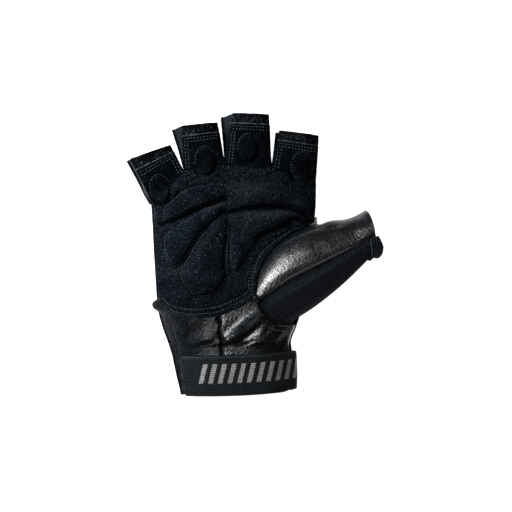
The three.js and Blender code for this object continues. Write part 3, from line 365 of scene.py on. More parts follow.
def smooth_line(points, shares, closed=False):
    """Points at shares of the length of a curve through the given ones, each span a cubic with end slopes
    from its neighbours, timed by the root of the chords."""
    p = np.array(points, float)
    ends = (p[-1:], p[:2]) if closed else (2 * p[:1] - p[1:2], 2 * p[-1:] - p[-2:-1])
    p = np.concatenate([ends[0], p, ends[1]])
    knot = np.concatenate([[0], np.cumsum(np.sqrt(np.linalg.norm(np.diff(p, axis=0), axis=1)))])
    pace = np.diff(p, axis=0) / np.diff(knot)[:, None]
    wide = (p[2:] - p[:-2]) / (knot[2:] - knot[:-2])[:, None]
    slope = pace[:-1] - wide + pace[1:]
    t = np.linspace(0, 1, SPAN_POINTS)[None, :, None]
    span = np.diff(knot)[1:-1, None, None]
    a, b, m, n = p[1:-2, None], p[2:-1, None], slope[:-1, None] * span, slope[1:, None] * span
    fine = a + t * (m + t * (3 * (b - a) - 2 * m - n + t * (2 * (a - b) + m + n)))
    fine = np.concatenate([fine[:, :-1].reshape(-1, p.shape[1]), fine[-1, -1:]])
    run = np.concatenate([[0], np.cumsum(np.linalg.norm(np.diff(fine, axis=0), axis=1))])
    at = np.asarray(shares) * run[-1]
    return np.stack([np.interp(at, run, fine[:, k]) for k in range(p.shape[1])], -1)


def between(bottom, top, left, right):
    """A grid between four edges: the two ruled surfaces added, less the one through the corners."""
    u = np.linspace(0, 1, len(bottom))[None, :, None]
    v = np.linspace(0, 1, len(left))[:, None, None]
    ruled = mix(bottom[None], top[None], v) + mix(left[:, None], right[:, None], u)
    return ruled - mix(mix(bottom[0], bottom[-1], u), mix(top[0], top[-1], u), v)


def line_distance(x, y, line):
    """The least distance from each point to a line's straight pieces."""
    start, step = line[:-1], np.diff(line, axis=0)
    px, py = x.reshape(-1, 1) - start[:, 0], y.reshape(-1, 1) - start[:, 1]
    t = np.clip((px * step[:, 0] + py * step[:, 1]) / np.maximum((step**2).sum(1), 1e-9), 0, 1)
    return np.sqrt(((px - t * step[:, 0]) ** 2 + (py - t * step[:, 1]) ** 2).min(1)).reshape(x.shape)


def within(x, y, ring):
    """True inside a closed line, where a ray to the right crosses it an odd number of times."""
    a, b = ring, np.roll(ring, -1, axis=0)
    px, py = x.reshape(-1, 1), y.reshape(-1, 1)
    spans = (a[:, 1] > py) != (b[:, 1] > py)
    rise = np.where(b[:, 1] == a[:, 1], 1, b[:, 1] - a[:, 1])
    cross = px < a[:, 0] + (py - a[:, 1]) * (b[:, 0] - a[:, 0]) / rise
    return ((spans & cross).sum(1) % 2 == 1).reshape(x.shape)


def ripple(x, y, size, seed):
    """Uneven cloth: nine waves of about one size, their directions and phases drawn from a seed."""
    draw = np.random.default_rng(seed)
    total = 0
    waves = zip(draw.uniform(0, 2 * math.pi, 9), draw.uniform(0, 2 * math.pi, 9), draw.uniform(0.7, 1.5, 9))
    for angle, phase, scale in waves:
        run = x * math.cos(angle) + y * math.sin(angle)
        total = total + np.sin(2 * math.pi * run / (size * scale) + phase)
    return total / 3


def bell(distance, width):
    """A rounded hump that falls off over its half width."""
    return np.exp(-((distance / width) ** 2))


def turned_to(x, y, cx, cy, turn):
    """Places measured from a middle, along and across a direction given in degrees."""
    c, s = math.cos(math.radians(turn)), math.sin(math.radians(turn))
    return (x - cx) * c + (y - cy) * s, (y - cy) * c - (x - cx) * s


def worn_patches(x, y):
    """Wear and its warmth: bells over turned ovals."""
    wear, warm = np.zeros_like(x), np.zeros_like(x)
    for cx, cy, wide, high, turn, strength, tint in WORN:
        dx, dy = turned_to(x, y, cx, cy, turn)
        spot = strength * np.exp(-((dx / wide) ** 2) - (dy / high) ** 2)
        wear, warm = wear + spot, warm + spot * tint
    return wear, warm


quilt_rings = {}
for name, ring in QUILTED.items():
    quilt_rings[name] = smooth_line(ring, np.linspace(0, 1, 90), closed=True)[:-1]
crease_lines = [(smooth_line(line, np.linspace(0, 1, 30)), depth, width) for line, depth, width in CREASES]
fold_lines = [(smooth_line(line, np.linspace(0, 1, 20)), height, width) for line, height, width in FOLDS]
stitch_lines = [smooth_line(line, np.linspace(0, 1, 8 * len(line))) for line in PALM_ROWS_OF_STITCHES]


def quilting(x, y):
    """What the quilting adds to the bare palm: a quarter round up from each pad's seam, grooves for creases
    and stitched rows, humps for folds, and a slow unevenness. Also how much painted shade each point gets,
    in the creases and along the stitched rows."""
    rise, deep = np.zeros_like(x), np.zeros_like(x)
    for name, ring in quilt_rings.items():
        inside = np.where(within(x, y, ring), line_distance(x, y, np.concatenate([ring, ring[:1]])), 0)
        quarter = np.sqrt(1 - (1 - np.clip(inside / PAD_ROUND, 0, 1)) ** 2)
        rise += PAD_HEIGHT[name] * quarter + PAD_CROWN * ease(inside, PAD_CROWN_FROM, PAD_CROWN_TO)
    for line, depth, width in crease_lines:
        hollow = bell(line_distance(x, y, line), width)
        rise -= depth * hollow
        deep = np.maximum(deep, hollow)
    for line, height, width in fold_lines:
        rise += height * bell(line_distance(x, y, line), width)
    seams = np.full_like(x, FAR)
    for line in stitch_lines:
        seams = np.minimum(seams, line_distance(x, y, line))
    rise -= SEAM_SINK * bell(seams, SEAM_SINK_WIDTH)
    for height, size, seed in PALM_WAVES:
        rise += height * ripple(x, y, size, seed)
    return rise, np.maximum(deep, SEAM_SHADE * bell(seams, ROW_SINK_WIDTH))


def finger_quilting(name, x, y):
    """What the oval, the hem and the seams add to a stall, and how much painted shade each point gets in the
    crease below the oval and along the oval's seam.
    """
    stall = fronts[name]
    cx, cy, wide, high, turn = FINGER_PADS[name]
    dx, dy = turned_to(x, y, cx, cy, turn)
    ring = np.sqrt((dx / wide) ** 2 + (dy / high) ** 2)
    inside = np.maximum(0, 1 - ring) * wide
    rise = FINGER_PAD_HEIGHT * np.sqrt(1 - (1 - np.clip(inside / FINGER_PAD_ROUND, 0, 1)) ** 2)
    below = bell((ring - CREASE_RING) * wide, CREASE_WIDTH) * ease(-dy, 0, 0.7 * high)
    rise -= CREASE_DEPTH * below + OVAL_SEAM * bell((ring - 1) * wide, ROW_SINK_WIDTH)
    rise += FOLD_HEIGHT * bell((ring - FOLD_RING) * wide, FOLD_WIDTH) * ease(-dy, 0.3 * high, high)
    away = np.stack([x, y], -1) - stall["middle"]
    along = away @ stall["axis"]
    to_hem = stall["length"] - HEM_LENGTH - along
    rise += HEM_STEP * ease(-to_hem, -HEM_TURN_FROM, -HEM_TURN_TO)
    for row in HEM_ROWS:
        rise -= ROW_SINK * bell(to_hem - row, ROW_SINK_WIDTH)
    rise += STALL_WAVE * ripple(x, y, 7, 8)
    rise *= np.where(dy < -high, ease(along, -2, 5), 1)
    return rise, np.maximum(below, OVAL_SHADE * bell((ring - 1) * wide, 0.5))


fronts = {name: stall_frame(name, hand_front) for name in STALLS}


def palm_surface(x, y):
    """The palm's finished height, with the finger ovals that reach down on to it."""
    rise, _ = quilting(x, y)
    for name, stall in fronts.items():
        own = (np.stack([x, y], -1) - stall["middle"]) @ stall["axis"]
        near = np.abs(x - FINGER_PADS[name][0]) < OVAL_REACH
        own_rise = finger_quilting(name, x, y)[0] * ease(own, *OVAL_FADE) * (own < 1)
        rise = rise + np.where(near, own_rise, 0)
    return hand_front(x, y) + rise


def finger_surface(name):
    """The finished height of one finger stall, as a function of a place in plan."""
    def height(x, y):
        own = (np.stack([x, y], -1) - fronts[name]["middle"]) @ fronts[name]["axis"]
        rise = mix(quilting(x, y)[0], 0, ease(own, 0, QUILTING_END))
        return stall_height(fronts[name], x, y) + rise + finger_quilting(name, x, y)[0]
    return height


def offset(height, x, y, depth):
    """The point over (x, y) on a height function, moved along its normal, from slopes over a small step."""
    slope_x = (height(x + SLOPE_STEP, y) - height(x - SLOPE_STEP, y)) / (2 * SLOPE_STEP)
    slope_y = (height(x, y + SLOPE_STEP) - height(x, y - SLOPE_STEP)) / (2 * SLOPE_STEP)
    normal = np.stack([-slope_x, -slope_y, np.ones_like(slope_x)], -1)
    normal /= np.linalg.norm(normal, axis=-1, keepdims=True)
    return np.stack([x, y, height(x, y)], -1) + normal * np.asarray(depth)[..., None]


def on_surface(plan, surface, depth=0.0):
    """A plan grid laid on a height function, or at a depth from it along the normal."""
    return offset(surface, plan[..., 0], plan[..., 1], np.full(plan.shape[:-1], depth))


def sew(grids, **values):
    """One surface from grids that share their edges: equal points become one, and each cell a face. The
    values that go with the points are carried along."""
    points = np.concatenate([g.reshape(-1, 3) for g in grids])
    places = np.round(points * SEWN_PER_MM).astype(np.int64)
    _, first, index = np.unique(places, axis=0, return_index=True, return_inverse=True)
    index = index.reshape(-1)
    faces, start = [], 0
    for g in grids:
        n = index[start : start + g.shape[0] * g.shape[1]].reshape(g.shape[:2])
        faces.append(np.stack([n[:-1, :-1], n[:-1, 1:], n[1:, 1:], n[1:, :-1]], -1).reshape(-1, 4))
        start += g.shape[0] * g.shape[1]
    kept = {key: np.concatenate([v.ravel() for v in value])[first] for key, value in values.items()}
    return points[first], np.concatenate(faces), kept


def point_normals(points, faces):
    """Each point's normal, the sum of the cross products of the diagonals of the faces round it."""
    face = np.cross(points[faces[:, 2]] - points[faces[:, 0]], points[faces[:, 3]] - points[faces[:, 1]])
    total = np.zeros_like(points)
    for k in range(4):
        np.add.at(total, faces[:, k], face)
    return total / np.maximum(np.linalg.norm(total, axis=1, keepdims=True), 1e-12)


def thicken(points, faces, values, thickness, below=0.0, roll=0.3):
    """A closed shell: an outer skin, an inner skin moved in along the normals, and a rounded rim between."""
    normal = point_normals(points, faces)
    outer, inner = points - normal * below, points - normal * (below + thickness)
    edges = np.concatenate([faces[:, [k, (k + 1) % 4]] for k in range(4)])
    edges = edges[edges[:, 0] != edges[:, 1]]
    n = len(points)
    rim = edges[~np.isin(edges[:, 0] * n + edges[:, 1], edges[:, 1] * n + edges[:, 0])]
    side = np.cross(points[rim[:, 1]] - points[rim[:, 0]], normal[rim[:, 0]])
    away = np.zeros_like(points)
    np.add.at(away, rim[:, 0], side)
    np.add.at(away, rim[:, 1], side)
    used, place = np.unique(rim, return_inverse=True)
    place = place.reshape(rim.shape)
    out = away[used] / np.maximum(np.linalg.norm(away[used], axis=1, keepdims=True), 1e-12)
    edge = (outer[used] + inner[used]) / 2 + out * roll * thickness
    a, b, ra, rb = rim[:, 0], rim[:, 1], 2 * n + place[:, 0], 2 * n + place[:, 1]
    bands = np.concatenate([np.stack([b, a, ra, rb], 1), np.stack([rb, ra, a + n, b + n], 1)])
    carried = {key: np.concatenate([v, v, v[used]]) for key, v in values.items()}
    return np.concatenate([outer, inner, edge]), np.concatenate([faces, faces[:, ::-1] + n, bands]), carried


def make_piece(name, points, faces, values, material, slot, *nodes):
    """A mesh from points in mm with its values as attributes, riding on the glove in place of CAD nodes."""
    mesh = bpy.data.meshes.new(name)
    corners = [list(dict.fromkeys(face)) for face in faces.tolist()]
    mesh.from_pydata(((points + MIDDLE) * MM).tolist(), [], corners)
    for key, value in values.items():
        mesh.attributes.new(key, "FLOAT", "POINT").data.foreach_set("value", np.asarray(value, np.float32))
    mesh.shade_smooth()
    mesh.materials.append(material)
    piece = bpy.data.objects.new(name, mesh)
    bpy.context.scene.collection.objects.link(piece)
    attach(piece, "root")
    if nodes:
        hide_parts(*nodes)
    return piece


def make_sheet(name, grids, thickness, material, slot, *nodes, below=0.0, **values):
    """A closed sheet sewn from grids whose outer skin lies on them, or below them."""
    return make_piece(name, *thicken(*sew(grids, **values), thickness, below), material, slot, *nodes)


def join(tree, node, sockets):
    """Gives a node's sockets their values; another node's output is linked."""
    for key, value in sockets.items():
        if isinstance(value, bpy.types.NodeSocket):
            tree.links.new(value, node.inputs[key])
        else:
            node.inputs[key].default_value = value


def add_node(tree, kind, sockets, **settings):
    """A node with its settings and sockets."""
    made = tree.nodes.new(kind)
    for key, value in settings.items():
        setattr(made, key, value)
    join(tree, made, sockets)
    return made


def math_node(tree, operation, *terms):
    """One step of arithmetic in a node tree."""
    return add_node(tree, "ShaderNodeMath", dict(enumerate(terms)), operation=operation).outputs[0]


def times(tree, *terms):
    """The product of two terms."""
    return math_node(tree, "MULTIPLY", *terms)


def plus(tree, *terms):
    """The sum of two terms."""
    return math_node(tree, "ADD", *terms)


def scaled(tree, value, factor, added):
    """A value times a factor, and what is added to it."""
    return math_node(tree, "MULTIPLY_ADD", value, factor, added)


def blend_colour(tree, share, low, high):
    """The blend of two colours by a share; each may be a value or an output."""
    low, high = (end if isinstance(end, bpy.types.NodeSocket) else (*end, 1) for end in (low, high))
    return add_node(tree, "ShaderNodeMix", {0: share, 6: low, 7: high}, data_type="RGBA").outputs[2]


def own_place(tree):
    """Where a point lies in its own piece."""
    return add_node(tree, "ShaderNodeTexCoord", {}).outputs["Object"]


def noise(tree, scale, detail=2.0, roughness=0.5, stretch=(1, 1, 1), turn=0.0):
    """Noise of a given scale per metre in the piece's own place, turned in plan and then stretched."""
    turned = add_node(tree, "ShaderNodeMapping", {"Vector": own_place(tree), "Rotation": (0, 0, turn)})
    pulled = add_node(tree, "ShaderNodeMapping", {"Vector": turned.outputs[0], "Scale": stretch})
    sockets = {"Vector": pulled.outputs[0], "Scale": scale, "Detail": detail, "Roughness": roughness}
    return add_node(tree, "ShaderNodeTexNoise", sockets).outputs["Fac"]


def steps(tree, value, low, high):
    """0 to 1 as the value goes from low to high."""
    sockets = {"Value": value, "From Min": low, "From Max": high}
    return add_node(tree, "ShaderNodeMapRange", sockets, interpolation_type="SMOOTHSTEP").outputs[0]


def attribute(tree, name):
    """A value carried by the mesh."""
    return add_node(tree, "ShaderNodeAttribute", {}, attribute_name=name).outputs["Fac"]


def coat(tree, shader, colour, roughness, gloss, relief, depth, strength=1.0):
    """A shader's colour, roughness and gloss, and a relief pressed into its normal, of a depth in metres."""
    pressed = add_node(tree, "ShaderNodeBump", {"Height": relief, "Strength": strength, "Distance": depth})
    join(tree, shader, {"Base Color": colour, "Roughness": roughness, "Specular IOR Level": gloss,
                        "Normal": pressed.outputs[0]})


def suede_finish():
    """Black suede: fine nap with pale fibre ends, greyer and warmer where worn, and painted shade that makes
    it nearly black in the creases and along the seams, and darker over the finger stalls.
    """
    made, tree, shader = new_nodes("black_suede")
    nap = noise(tree, 900, 3, 0.65)
    cells = add_node(tree, "ShaderNodeTexVoronoi", {"Vector": own_place(tree), "Scale": 400.0})
    fibres = math_node(tree, "SUBTRACT", 1.0, steps(tree, cells.outputs["Distance"], 0.12, 0.26))
    cloud = noise(tree, 120, 2, 0.5)
    patch = noise(tree, 330, 2, 0.6)
    lively = times(tree, nap, scaled(tree, cloud, 0.5, 0.75))
    colour = blend_colour(tree, steps(tree, lively, 0.36, 0.68), SUEDE_BLACK, SUEDE_NAP)
    flecks = times(tree, fibres, steps(tree, patch, 0.3, 0.6))
    colour = blend_colour(tree, times(tree, flecks, 0.5), colour, SUEDE_WORN)
    tint = blend_colour(tree, attribute(tree, "warm"), SUEDE_WORN, SUEDE_WARM)
    patchy = times(tree, nap, plus(tree, patch, 0.5))
    rubbed = times(tree, attribute(tree, "wear"), steps(tree, patchy, 0.25, 0.75))
    colour = blend_colour(tree, times(tree, rubbed, 0.45), colour, tint)
    # Painted shade: the colour is drawn towards near black in the creases, along the stitched rows and over
    # the finger stalls.
    colour = blend_colour(tree, times(tree, attribute(tree, "deep"), 0.8), colour, SUEDE_SHADOW)
    raw = times(tree, attribute(tree, "raw"), steps(tree, patch, 0.3, 0.7))
    colour = blend_colour(tree, raw, colour, SUEDE_CUT)
    relief = plus(tree, nap, times(tree, patch, 1.5))
    coat(tree, shader, colour, roughness=0.95, gloss=0.03, relief=relief, depth=0.00035, strength=0.8)
    return made


ACROSS_STALL = 44
STALL_SHADE = 0.85  # painted shade: the stalls, which curl away from the light, are drawn darker than the palm
PALM_ROWS = 176
THUMB_EDGE_ROWS = 116
STALL_ROWS = 40
BLEND_ROWS = 5  # rows of a stall that take up what is left between it and the palm


def root_places(stalls, across):
    """The roots of a row of stalls as one line; the point that two of them share comes once."""
    lines = [stall_place(stall, across, 0) for stall in stalls.values()]
    return np.concatenate([lines[0]] + [line[1:] for line in lines[1:]])


on_palm = np.array([PALM_WIDTH, PALM_LENGTH])
across = np.linspace(-1, 1, ACROSS_STALL + 1)
root_line = root_places(fronts, across)
hem_line = smooth_line(np.array(HEM_EDGE + THUMB_EDGE[:1]) * on_palm, np.linspace(0, 1, len(root_line)))
left_y = np.linspace(hem_line[0, 1], root_line[0, 1], PALM_ROWS + 1)
left_line = np.stack([section("left", left_y), left_y], -1)
left_line[0], left_line[-1] = hem_line[0], root_line[0]
thumb_side_line = smooth_line(np.array(THUMB_EDGE) * on_palm, np.linspace(0, 1, THUMB_EDGE_ROWS + 1))
index_side_line = smooth_line(np.array(INDEX_EDGE) * on_palm,
                              np.linspace(0, 1, PALM_ROWS - THUMB_EDGE_ROWS + 1))
right_line = np.concatenate([thumb_side_line, index_side_line[1:]])
right_line[0], right_line[-1] = hem_line[-1], root_line[-1]
palm_plan = between(hem_line, root_line, left_line, right_line)
palm_x, palm_y = palm_plan[..., 0], palm_plan[..., 1]
suede_grids = [np.stack([palm_x, palm_y, palm_surface(palm_x, palm_y)], -1)]
palm_painted_shade = quilting(palm_x, palm_y)[1]
palm_wear, palm_warm = worn_patches(palm_x, palm_y)
deep, wear, warm, raw = [palm_painted_shade], [palm_wear], [palm_warm], [0 * palm_x]
raw[0][:1] = ease(-palm_x[:1], -20, 40) * 0.7
for name, stall in fronts.items():
    hem_share = 1 - HEM_LENGTH / stall["length"]
    plan = stall_place(stall, across[None, :], np.linspace(0, hem_share, STALL_ROWS + 1)[:, None])
    x, y = plan[..., 0], plan[..., 1]
    z = finger_surface(name)(x, y)
    z[0] = palm_surface(x[0], y[0])
    left_over = z[0] - finger_surface(name)(x[0], y[0])
    z[1 : BLEND_ROWS + 1] += left_over * (1 - np.arange(1, BLEND_ROWS + 1) / (BLEND_ROWS + 1))[:, None]
    suede_grids.append(np.stack([x, y, z], -1))
    # Painted shade over the whole stall, and more in the crease below its oval and along its seams.
    deep.append(np.maximum(finger_quilting(name, x, y)[1], STALL_SHADE))
    wear.append(worn_patches(x, y)[0])
    warm.append(worn_patches(x, y)[1])
    cut = 0 * x
    cut[-1] = 1
    raw.append(cut)
pads = ("knuckles_outer", "knuckles_inner", "little", "heel", "thumb")
suede_nodes = ["palm_panel", *(f"palm_pad_{pad}" for pad in pads),
               *(f"finger_pad_{name}" for name in STALLS)]
suede_values = dict(deep=deep, wear=wear, warm=warm, raw=raw)
palm_piece = make_sheet("palm_suede", suede_grids, SUEDE, suede_finish(), "suede", *suede_nodes,
                        **suede_values)

# Stitching of the palm: bonded thread in a lockstitch of about 2 mm, each stitch a short round bead that is
# sunk a little in the suede. Double rows run along the hem, the thumb's edge and the fingers.
THREAD_GREY = (0.1, 0.112, 0.12)
STITCH_PITCH = 2.0
STITCH_LENGTH = 1.3
STITCH_THICKNESS = 0.5
STITCH_HEIGHT = 0.1  # how far its middle stands over the suede
STITCH_SIDES = 6
STITCH_RINGS = np.array([-0.86, -0.45, 0.45, 0.86])  # as shares of its half length
PLY_TURN = 0.7
# The stitched part of each oval: from, to and points, in degrees.
OVAL_SWEEPS = {"little": (-25, 205, 40), "ring": (20, 190, 30), "middle": (20, 190, 30),
               "index": (-25, 205, 40)}


def lay_stitches(rows, seed):
    """Beads of thread along lines on surfaces, a little uneven in length and place. Each is a six-sided
    barrel, its girth the root of one less the fourth power of the place along it, closed at both ends."""
    draw = np.random.default_rng(seed)
    centres, along, up = [], [], []
    for line, surface in rows:
        run = np.concatenate([[0], np.cumsum(np.linalg.norm(np.diff(line, axis=0), axis=1))])
        count = max(1, int(run[-1] / STITCH_PITCH))
        at = (np.arange(count) + 0.5) * run[-1] / count
        place, behind, ahead = (np.stack([np.interp(at + step, run, line[:, k]) for k in (0, 1)], -1)
                                for step in (0, -0.3, 0.3))
        low, high = (on_surface(place, surface, depth) for depth in (0.0, 1.0))
        normal = high - low
        flat = np.concatenate([ahead - behind, np.zeros((count, 1))], 1)
        flat -= normal * (flat * normal).sum(1, keepdims=True)
        centres.append(low + normal * STITCH_HEIGHT)
        along.append(flat / np.linalg.norm(flat, axis=1, keepdims=True))
        up.append(normal)
    centres, along, up = (np.concatenate(v) for v in (centres, along, up))
    side = np.cross(up, along)
    n, body = len(centres), STITCH_SIDES * len(STITCH_RINGS)
    centres = centres + side * draw.normal(0, 0.06, (n, 1))
    girth = STITCH_THICKNESS / 2 * np.sqrt(1 - STITCH_RINGS**4)[:, None]
    k = np.arange(STITCH_SIDES)
    angle = k * 2 * math.pi / STITCH_SIDES
    length = STITCH_LENGTH / 2 * draw.uniform(0.88, 1.12, (n, 1, 1, 1))
    barrel = (centres[:, None, None] + along[:, None, None] * STITCH_RINGS[None, :, None, None] * length
              + side[:, None, None] * (girth * np.cos(angle))[None, :, :, None]
              + up[:, None, None] * (girth * np.sin(angle))[None, :, :, None])
    tips = centres[:, None] + along[:, None] * np.array([-1, 1])[None, :, None] * length[:, 0]
    points = np.concatenate([barrel.reshape(n, body, 3), tips], 1)
    after, last = (k + 1) % STITCH_SIDES, body - STITCH_SIDES
    starts = range(0, last, STITCH_SIDES)
    bands = [np.stack([k, after, after + STITCH_SIDES, k + STITCH_SIDES], 1) + start for start in starts]
    first_tip, last_tip = np.full(STITCH_SIDES, body), np.full(STITCH_SIDES, body + 1)
    ends = [np.stack([after, k, first_tip, first_tip], 1),
            np.stack([last + k, last + after, last_tip, last_tip], 1)]
    faces = (np.concatenate(bands + ends)[None] + (body + 2) * np.arange(n)[:, None, None]).reshape(-1, 4)
    return points.reshape(-1, 3), faces, {"shade": np.repeat(draw.uniform(0.25, 1.0, n), body + 2)}


def thread_finish(name, colour):
    """Twisted thread: darker and paler from stitch to stitch, with fine slanted plies."""
    made, tree, shader = new_nodes(name)
    plies = noise(tree, 2600, 1, 0.5, stretch=(1, 1.6, 1), turn=PLY_TURN)
    tone = times(tree, attribute(tree, "shade"), plus(tree, plies, 0.5))
    mixed = blend_colour(tree, tone, [0.15 * c for c in colour], colour)
    coat(tree, shader, mixed, roughness=0.6, gloss=0.4, relief=plies, depth=0.0001, strength=0.5)
    return made


stitch_rows = [(line, palm_surface) for line in stitch_lines]
for name, stall in fronts.items():
    reach = stall["length"]
    hem_share = 1 - HEM_LENGTH / reach
    side = 1 if name == "little" else -1
    down = np.linspace(0.06, hem_share - 5 / reach, 20)
    lines = [stall_place(stall, np.linspace(-0.9, 0.9, 20), hem_share - row / reach) for row in HEM_ROWS]
    lines += [stall_place(stall, side * (1 - 2 * inset / FINGER_WIDTH), down) for inset in SIDE_ROWS]
    cx, cy, wide, high, turn = FINGER_PADS[name]
    sweep = np.radians(np.linspace(*OVAL_SWEEPS[name]))
    c, s = math.cos(math.radians(turn)), math.sin(math.radians(turn))
    oval = np.stack([wide * np.cos(sweep), high * np.sin(sweep)], -1)
    lines.append(oval @ np.array([[c, s], [-s, c]]) + [cx, cy])
    stitch_rows += [(line, finger_surface(name)) for line in lines]
thread = thread_finish("grey_thread", THREAD_GREY)
make_piece("palm_stitching", *lay_stitches(stitch_rows, 11), thread, "suede")

# End bands: a strip of thin pebbled leather turned over the mouth of each finger stall, seen past the cut
# suede, a little lower than it.
BAND_STEP = 0.3
BAND_WAVE, BAND_WAVE_SIZE = 0.12, 6
BAND_BLACK = (0.0012, 0.002, 0.003)
BAND_GREY = (0.06, 0.068, 0.078)


def band_finish():
    """Thin pebbled leather, rubbed grey on the tops of the grain."""
    made, tree, shader = new_nodes("pebbled_band")
    grain = noise(tree, 560, 2, 0.6)
    cloud = noise(tree, 150, 2, 0.5)
    tops = times(tree, steps(tree, grain, 0.5, 0.66), steps(tree, cloud, 0.35, 0.65))
    colour = blend_colour(tree, tops, BAND_BLACK, BAND_GREY)
    coat(tree, shader, colour, roughness=0.6, gloss=0.03, relief=grain, depth=0.0005)
    return made


band = band_finish()
for name, stall in fronts.items():
    start = 1 - (HEM_LENGTH - GAP) / stall["length"]
    plan = stall_place(stall, across[None, ::2], np.linspace(start, 1, 12)[:, None])
    x, y = plan[..., 0], plan[..., 1]
    grid = offset(partial(stall_height, stall), x, y,
                  -BAND_STEP + BAND_WAVE * ripple(x, y, BAND_WAVE_SIZE, 21))
    make_sheet(f"end_band_{name}_leather", [grid], SUEDE - BAND_STEP, band, "band", f"end_band_{name}")

# Back panel: black stretch knit, one piece from under the strap to the ends of the finger stalls. It lies
# flat on the table in the middle, turns up at its edges, and rides up over the strap at the wrist.
KNIT = 1.4
ELASTIC = 1.5
STRAP_WIDTH = 24.8
STRAP_SLANT = 3.2
STRAP_LOW = -CUFF_LENGTH
STRAP_TOP = STRAP_LOW + STRAP_WIDTH
FLAT_SHARE = 0.6
KNIT_BLACK = (0.0012, 0.002, 0.003)
KNIT_GREY = (0.041, 0.048, 0.06)
BACK_ROWS = 150
BACK_STALL_ROWS = 30
STRAP_EASE_FROM, STRAP_EASE_TO = 2, 8  # how far above the strap the wrist is free of it
RIB_PITCH = 1.3


def on_strap(y):
    """1 where the wrist lies on the strap, easing to 0 above it."""
    free = STRAP_TOP + STRAP_SLANT
    return 1 - ease(y, free + STRAP_EASE_FROM, free + STRAP_EASE_TO)


def hand_back(x, y):
    """The hand's back: flat, its edges turned up by a square law, lifted where it lies on the strap."""
    left, right = section("back_left", y), section("back_right", y)
    t = (2 * x - left - right) / (right - left)
    rise = np.where(t < 0, section("back_edge", y), section("thumb_edge", y))
    turned = np.maximum(0, (np.abs(t) - FLAT_SHARE) / (1 - FLAT_SHARE))
    return on_strap(y) * (ELASTIC + GAP) + np.maximum(0, rise) * np.minimum(turned, 1.1) ** 2


def cuff_low(side):
    """The height of the cuff's lower edge on one side, just inside the strap's."""
    return STRAP_LOW + GAP + (side + 1) * 0.5 * STRAP_SLANT


def side_line(column, from_y, to_y, count):
    """An edge of the hand's sections between two heights."""
    y = np.linspace(from_y, to_y, count + 1)
    return np.stack([section(column, y), y], -1)


def knit_finish(name, rib_pitch, rib_share, course_pitch, course_share):
    """Ribbed stretch knit: squared cosine ridges across each of two measures of the mesh, of given
    strengths, with loose fibres and a slow unevenness."""
    made, tree, shader = new_nodes(name)
    fuzz = noise(tree, 900, 2, 0.6)
    cloud = noise(tree, 90, 2, 0.5)
    ridges = []
    for measure, pitch, share in (("rib", rib_pitch, rib_share), ("course", course_pitch, course_share)):
        wave = math_node(tree, "COSINE", times(tree, attribute(tree, measure), 2 * math.pi / pitch))
        ridge = math_node(tree, "POWER", scaled(tree, wave, 0.5, 0.5), 2.0)
        ridges.append(times(tree, ridge, share))
    relief = plus(tree, *ridges)
    uneven = times(tree, scaled(tree, cloud, 0.8, 0.5), scaled(tree, fuzz, 1.2, 0.4))
    colour = blend_colour(tree, times(tree, relief, uneven), KNIT_BLACK, KNIT_GREY)
    fuzzy = plus(tree, relief, times(tree, fuzz, 0.3))
    coat(tree, shader, colour, roughness=0.9, gloss=0.06, relief=fuzzy, depth=0.0003)
    return made


backs = {name: stall_frame(name, hand_back, back=True) for name in STALLS}
half_across = across[::2]
back_root = root_places(backs, half_across)
back_left = side_line("back_left", cuff_low(-1), back_root[0, 1], BACK_ROWS)
back_right = side_line("back_right", cuff_low(1), back_root[-1, 1], BACK_ROWS)
back_left[-1], back_right[-1] = back_root[0], back_root[-1]
back_bottom = mix(back_left[0], back_right[0], np.linspace(0, 1, len(back_root))[:, None])
plans = [between(back_bottom, back_root, back_left, back_right)]
heights = [hand_back(plans[0][..., 0], plans[0][..., 1])]
for stall in backs.values():
    plans.append(stall_place(stall, half_across, np.linspace(0, 1, BACK_STALL_ROWS + 1)[:, None]))
    heights.append(stall_height(stall, plans[-1][..., 0], plans[-1][..., 1]))
back_grids = [np.concatenate([plan, height[..., None]], -1)[:, ::-1] for plan, height in zip(plans, heights)]
back_knit = knit_finish("back_knit", 1.4 * RIB_PITCH, 0.6, 1.4, 0.3)
measures = dict(rib=[grid[..., 0] for grid in back_grids], course=[grid[..., 1] for grid in back_grids])
make_sheet("back_knit_panel", back_grids, KNIT, back_knit, "knit", "back_panel", **measures)

# Gussets and side walls: strips that stand between palm and back. The gussets are ribbed knit, one piece
# down a finger, round the crotch and up the next; the little finger's side is thin leather and the index
# finger's knit.
SEAM_INSET = 0.5
WALL_GAP = 0.6
WALL_BULGE = 0.15
WALL_UNDER, WALL_OVER = SUEDE + WALL_GAP, KNIT + 1.25 * WALL_GAP
LEATHER = 1.3
OVERLAP = 3.0
HEM_OVERLAP = 4.0
LEATHER_BLACK = (0.0012, 0.002, 0.0028)
LEATHER_GREY = (0.007, 0.009, 0.011)
LEATHER_CUT = (0.16, 0.155, 0.15)
GRAIN_SIZE, GRAIN_STRETCH = 650, (0.5, 1.6, 1)
RIB_SLANT = 0.6


def standing(front, back, under=WALL_UNDER, over=WALL_OVER):
    """Places under the palm side and over the back, where the two edges of a standing strip lie."""
    return [on_surface(front, hand_front, -under), on_surface(back, hand_back, over)]


def stall_stations(name, side, shares):
    """Places down one side of a finger stall, for the palm side and the back, as functions of the way in."""
    def stand(inset):
        found = []
        for stall, depth in ((fronts[name], -WALL_UNDER), (backs[name], WALL_OVER)):
            wide = np.linalg.norm(stall_place(stall, 1, shares) - stall_place(stall, -1, shares), axis=-1)
            plan = stall_place(stall, side * (1 - inset / (wide / 2)), shares)
            found.append(on_surface(plan, partial(stall_height, stall), depth))
        return found
    return stand


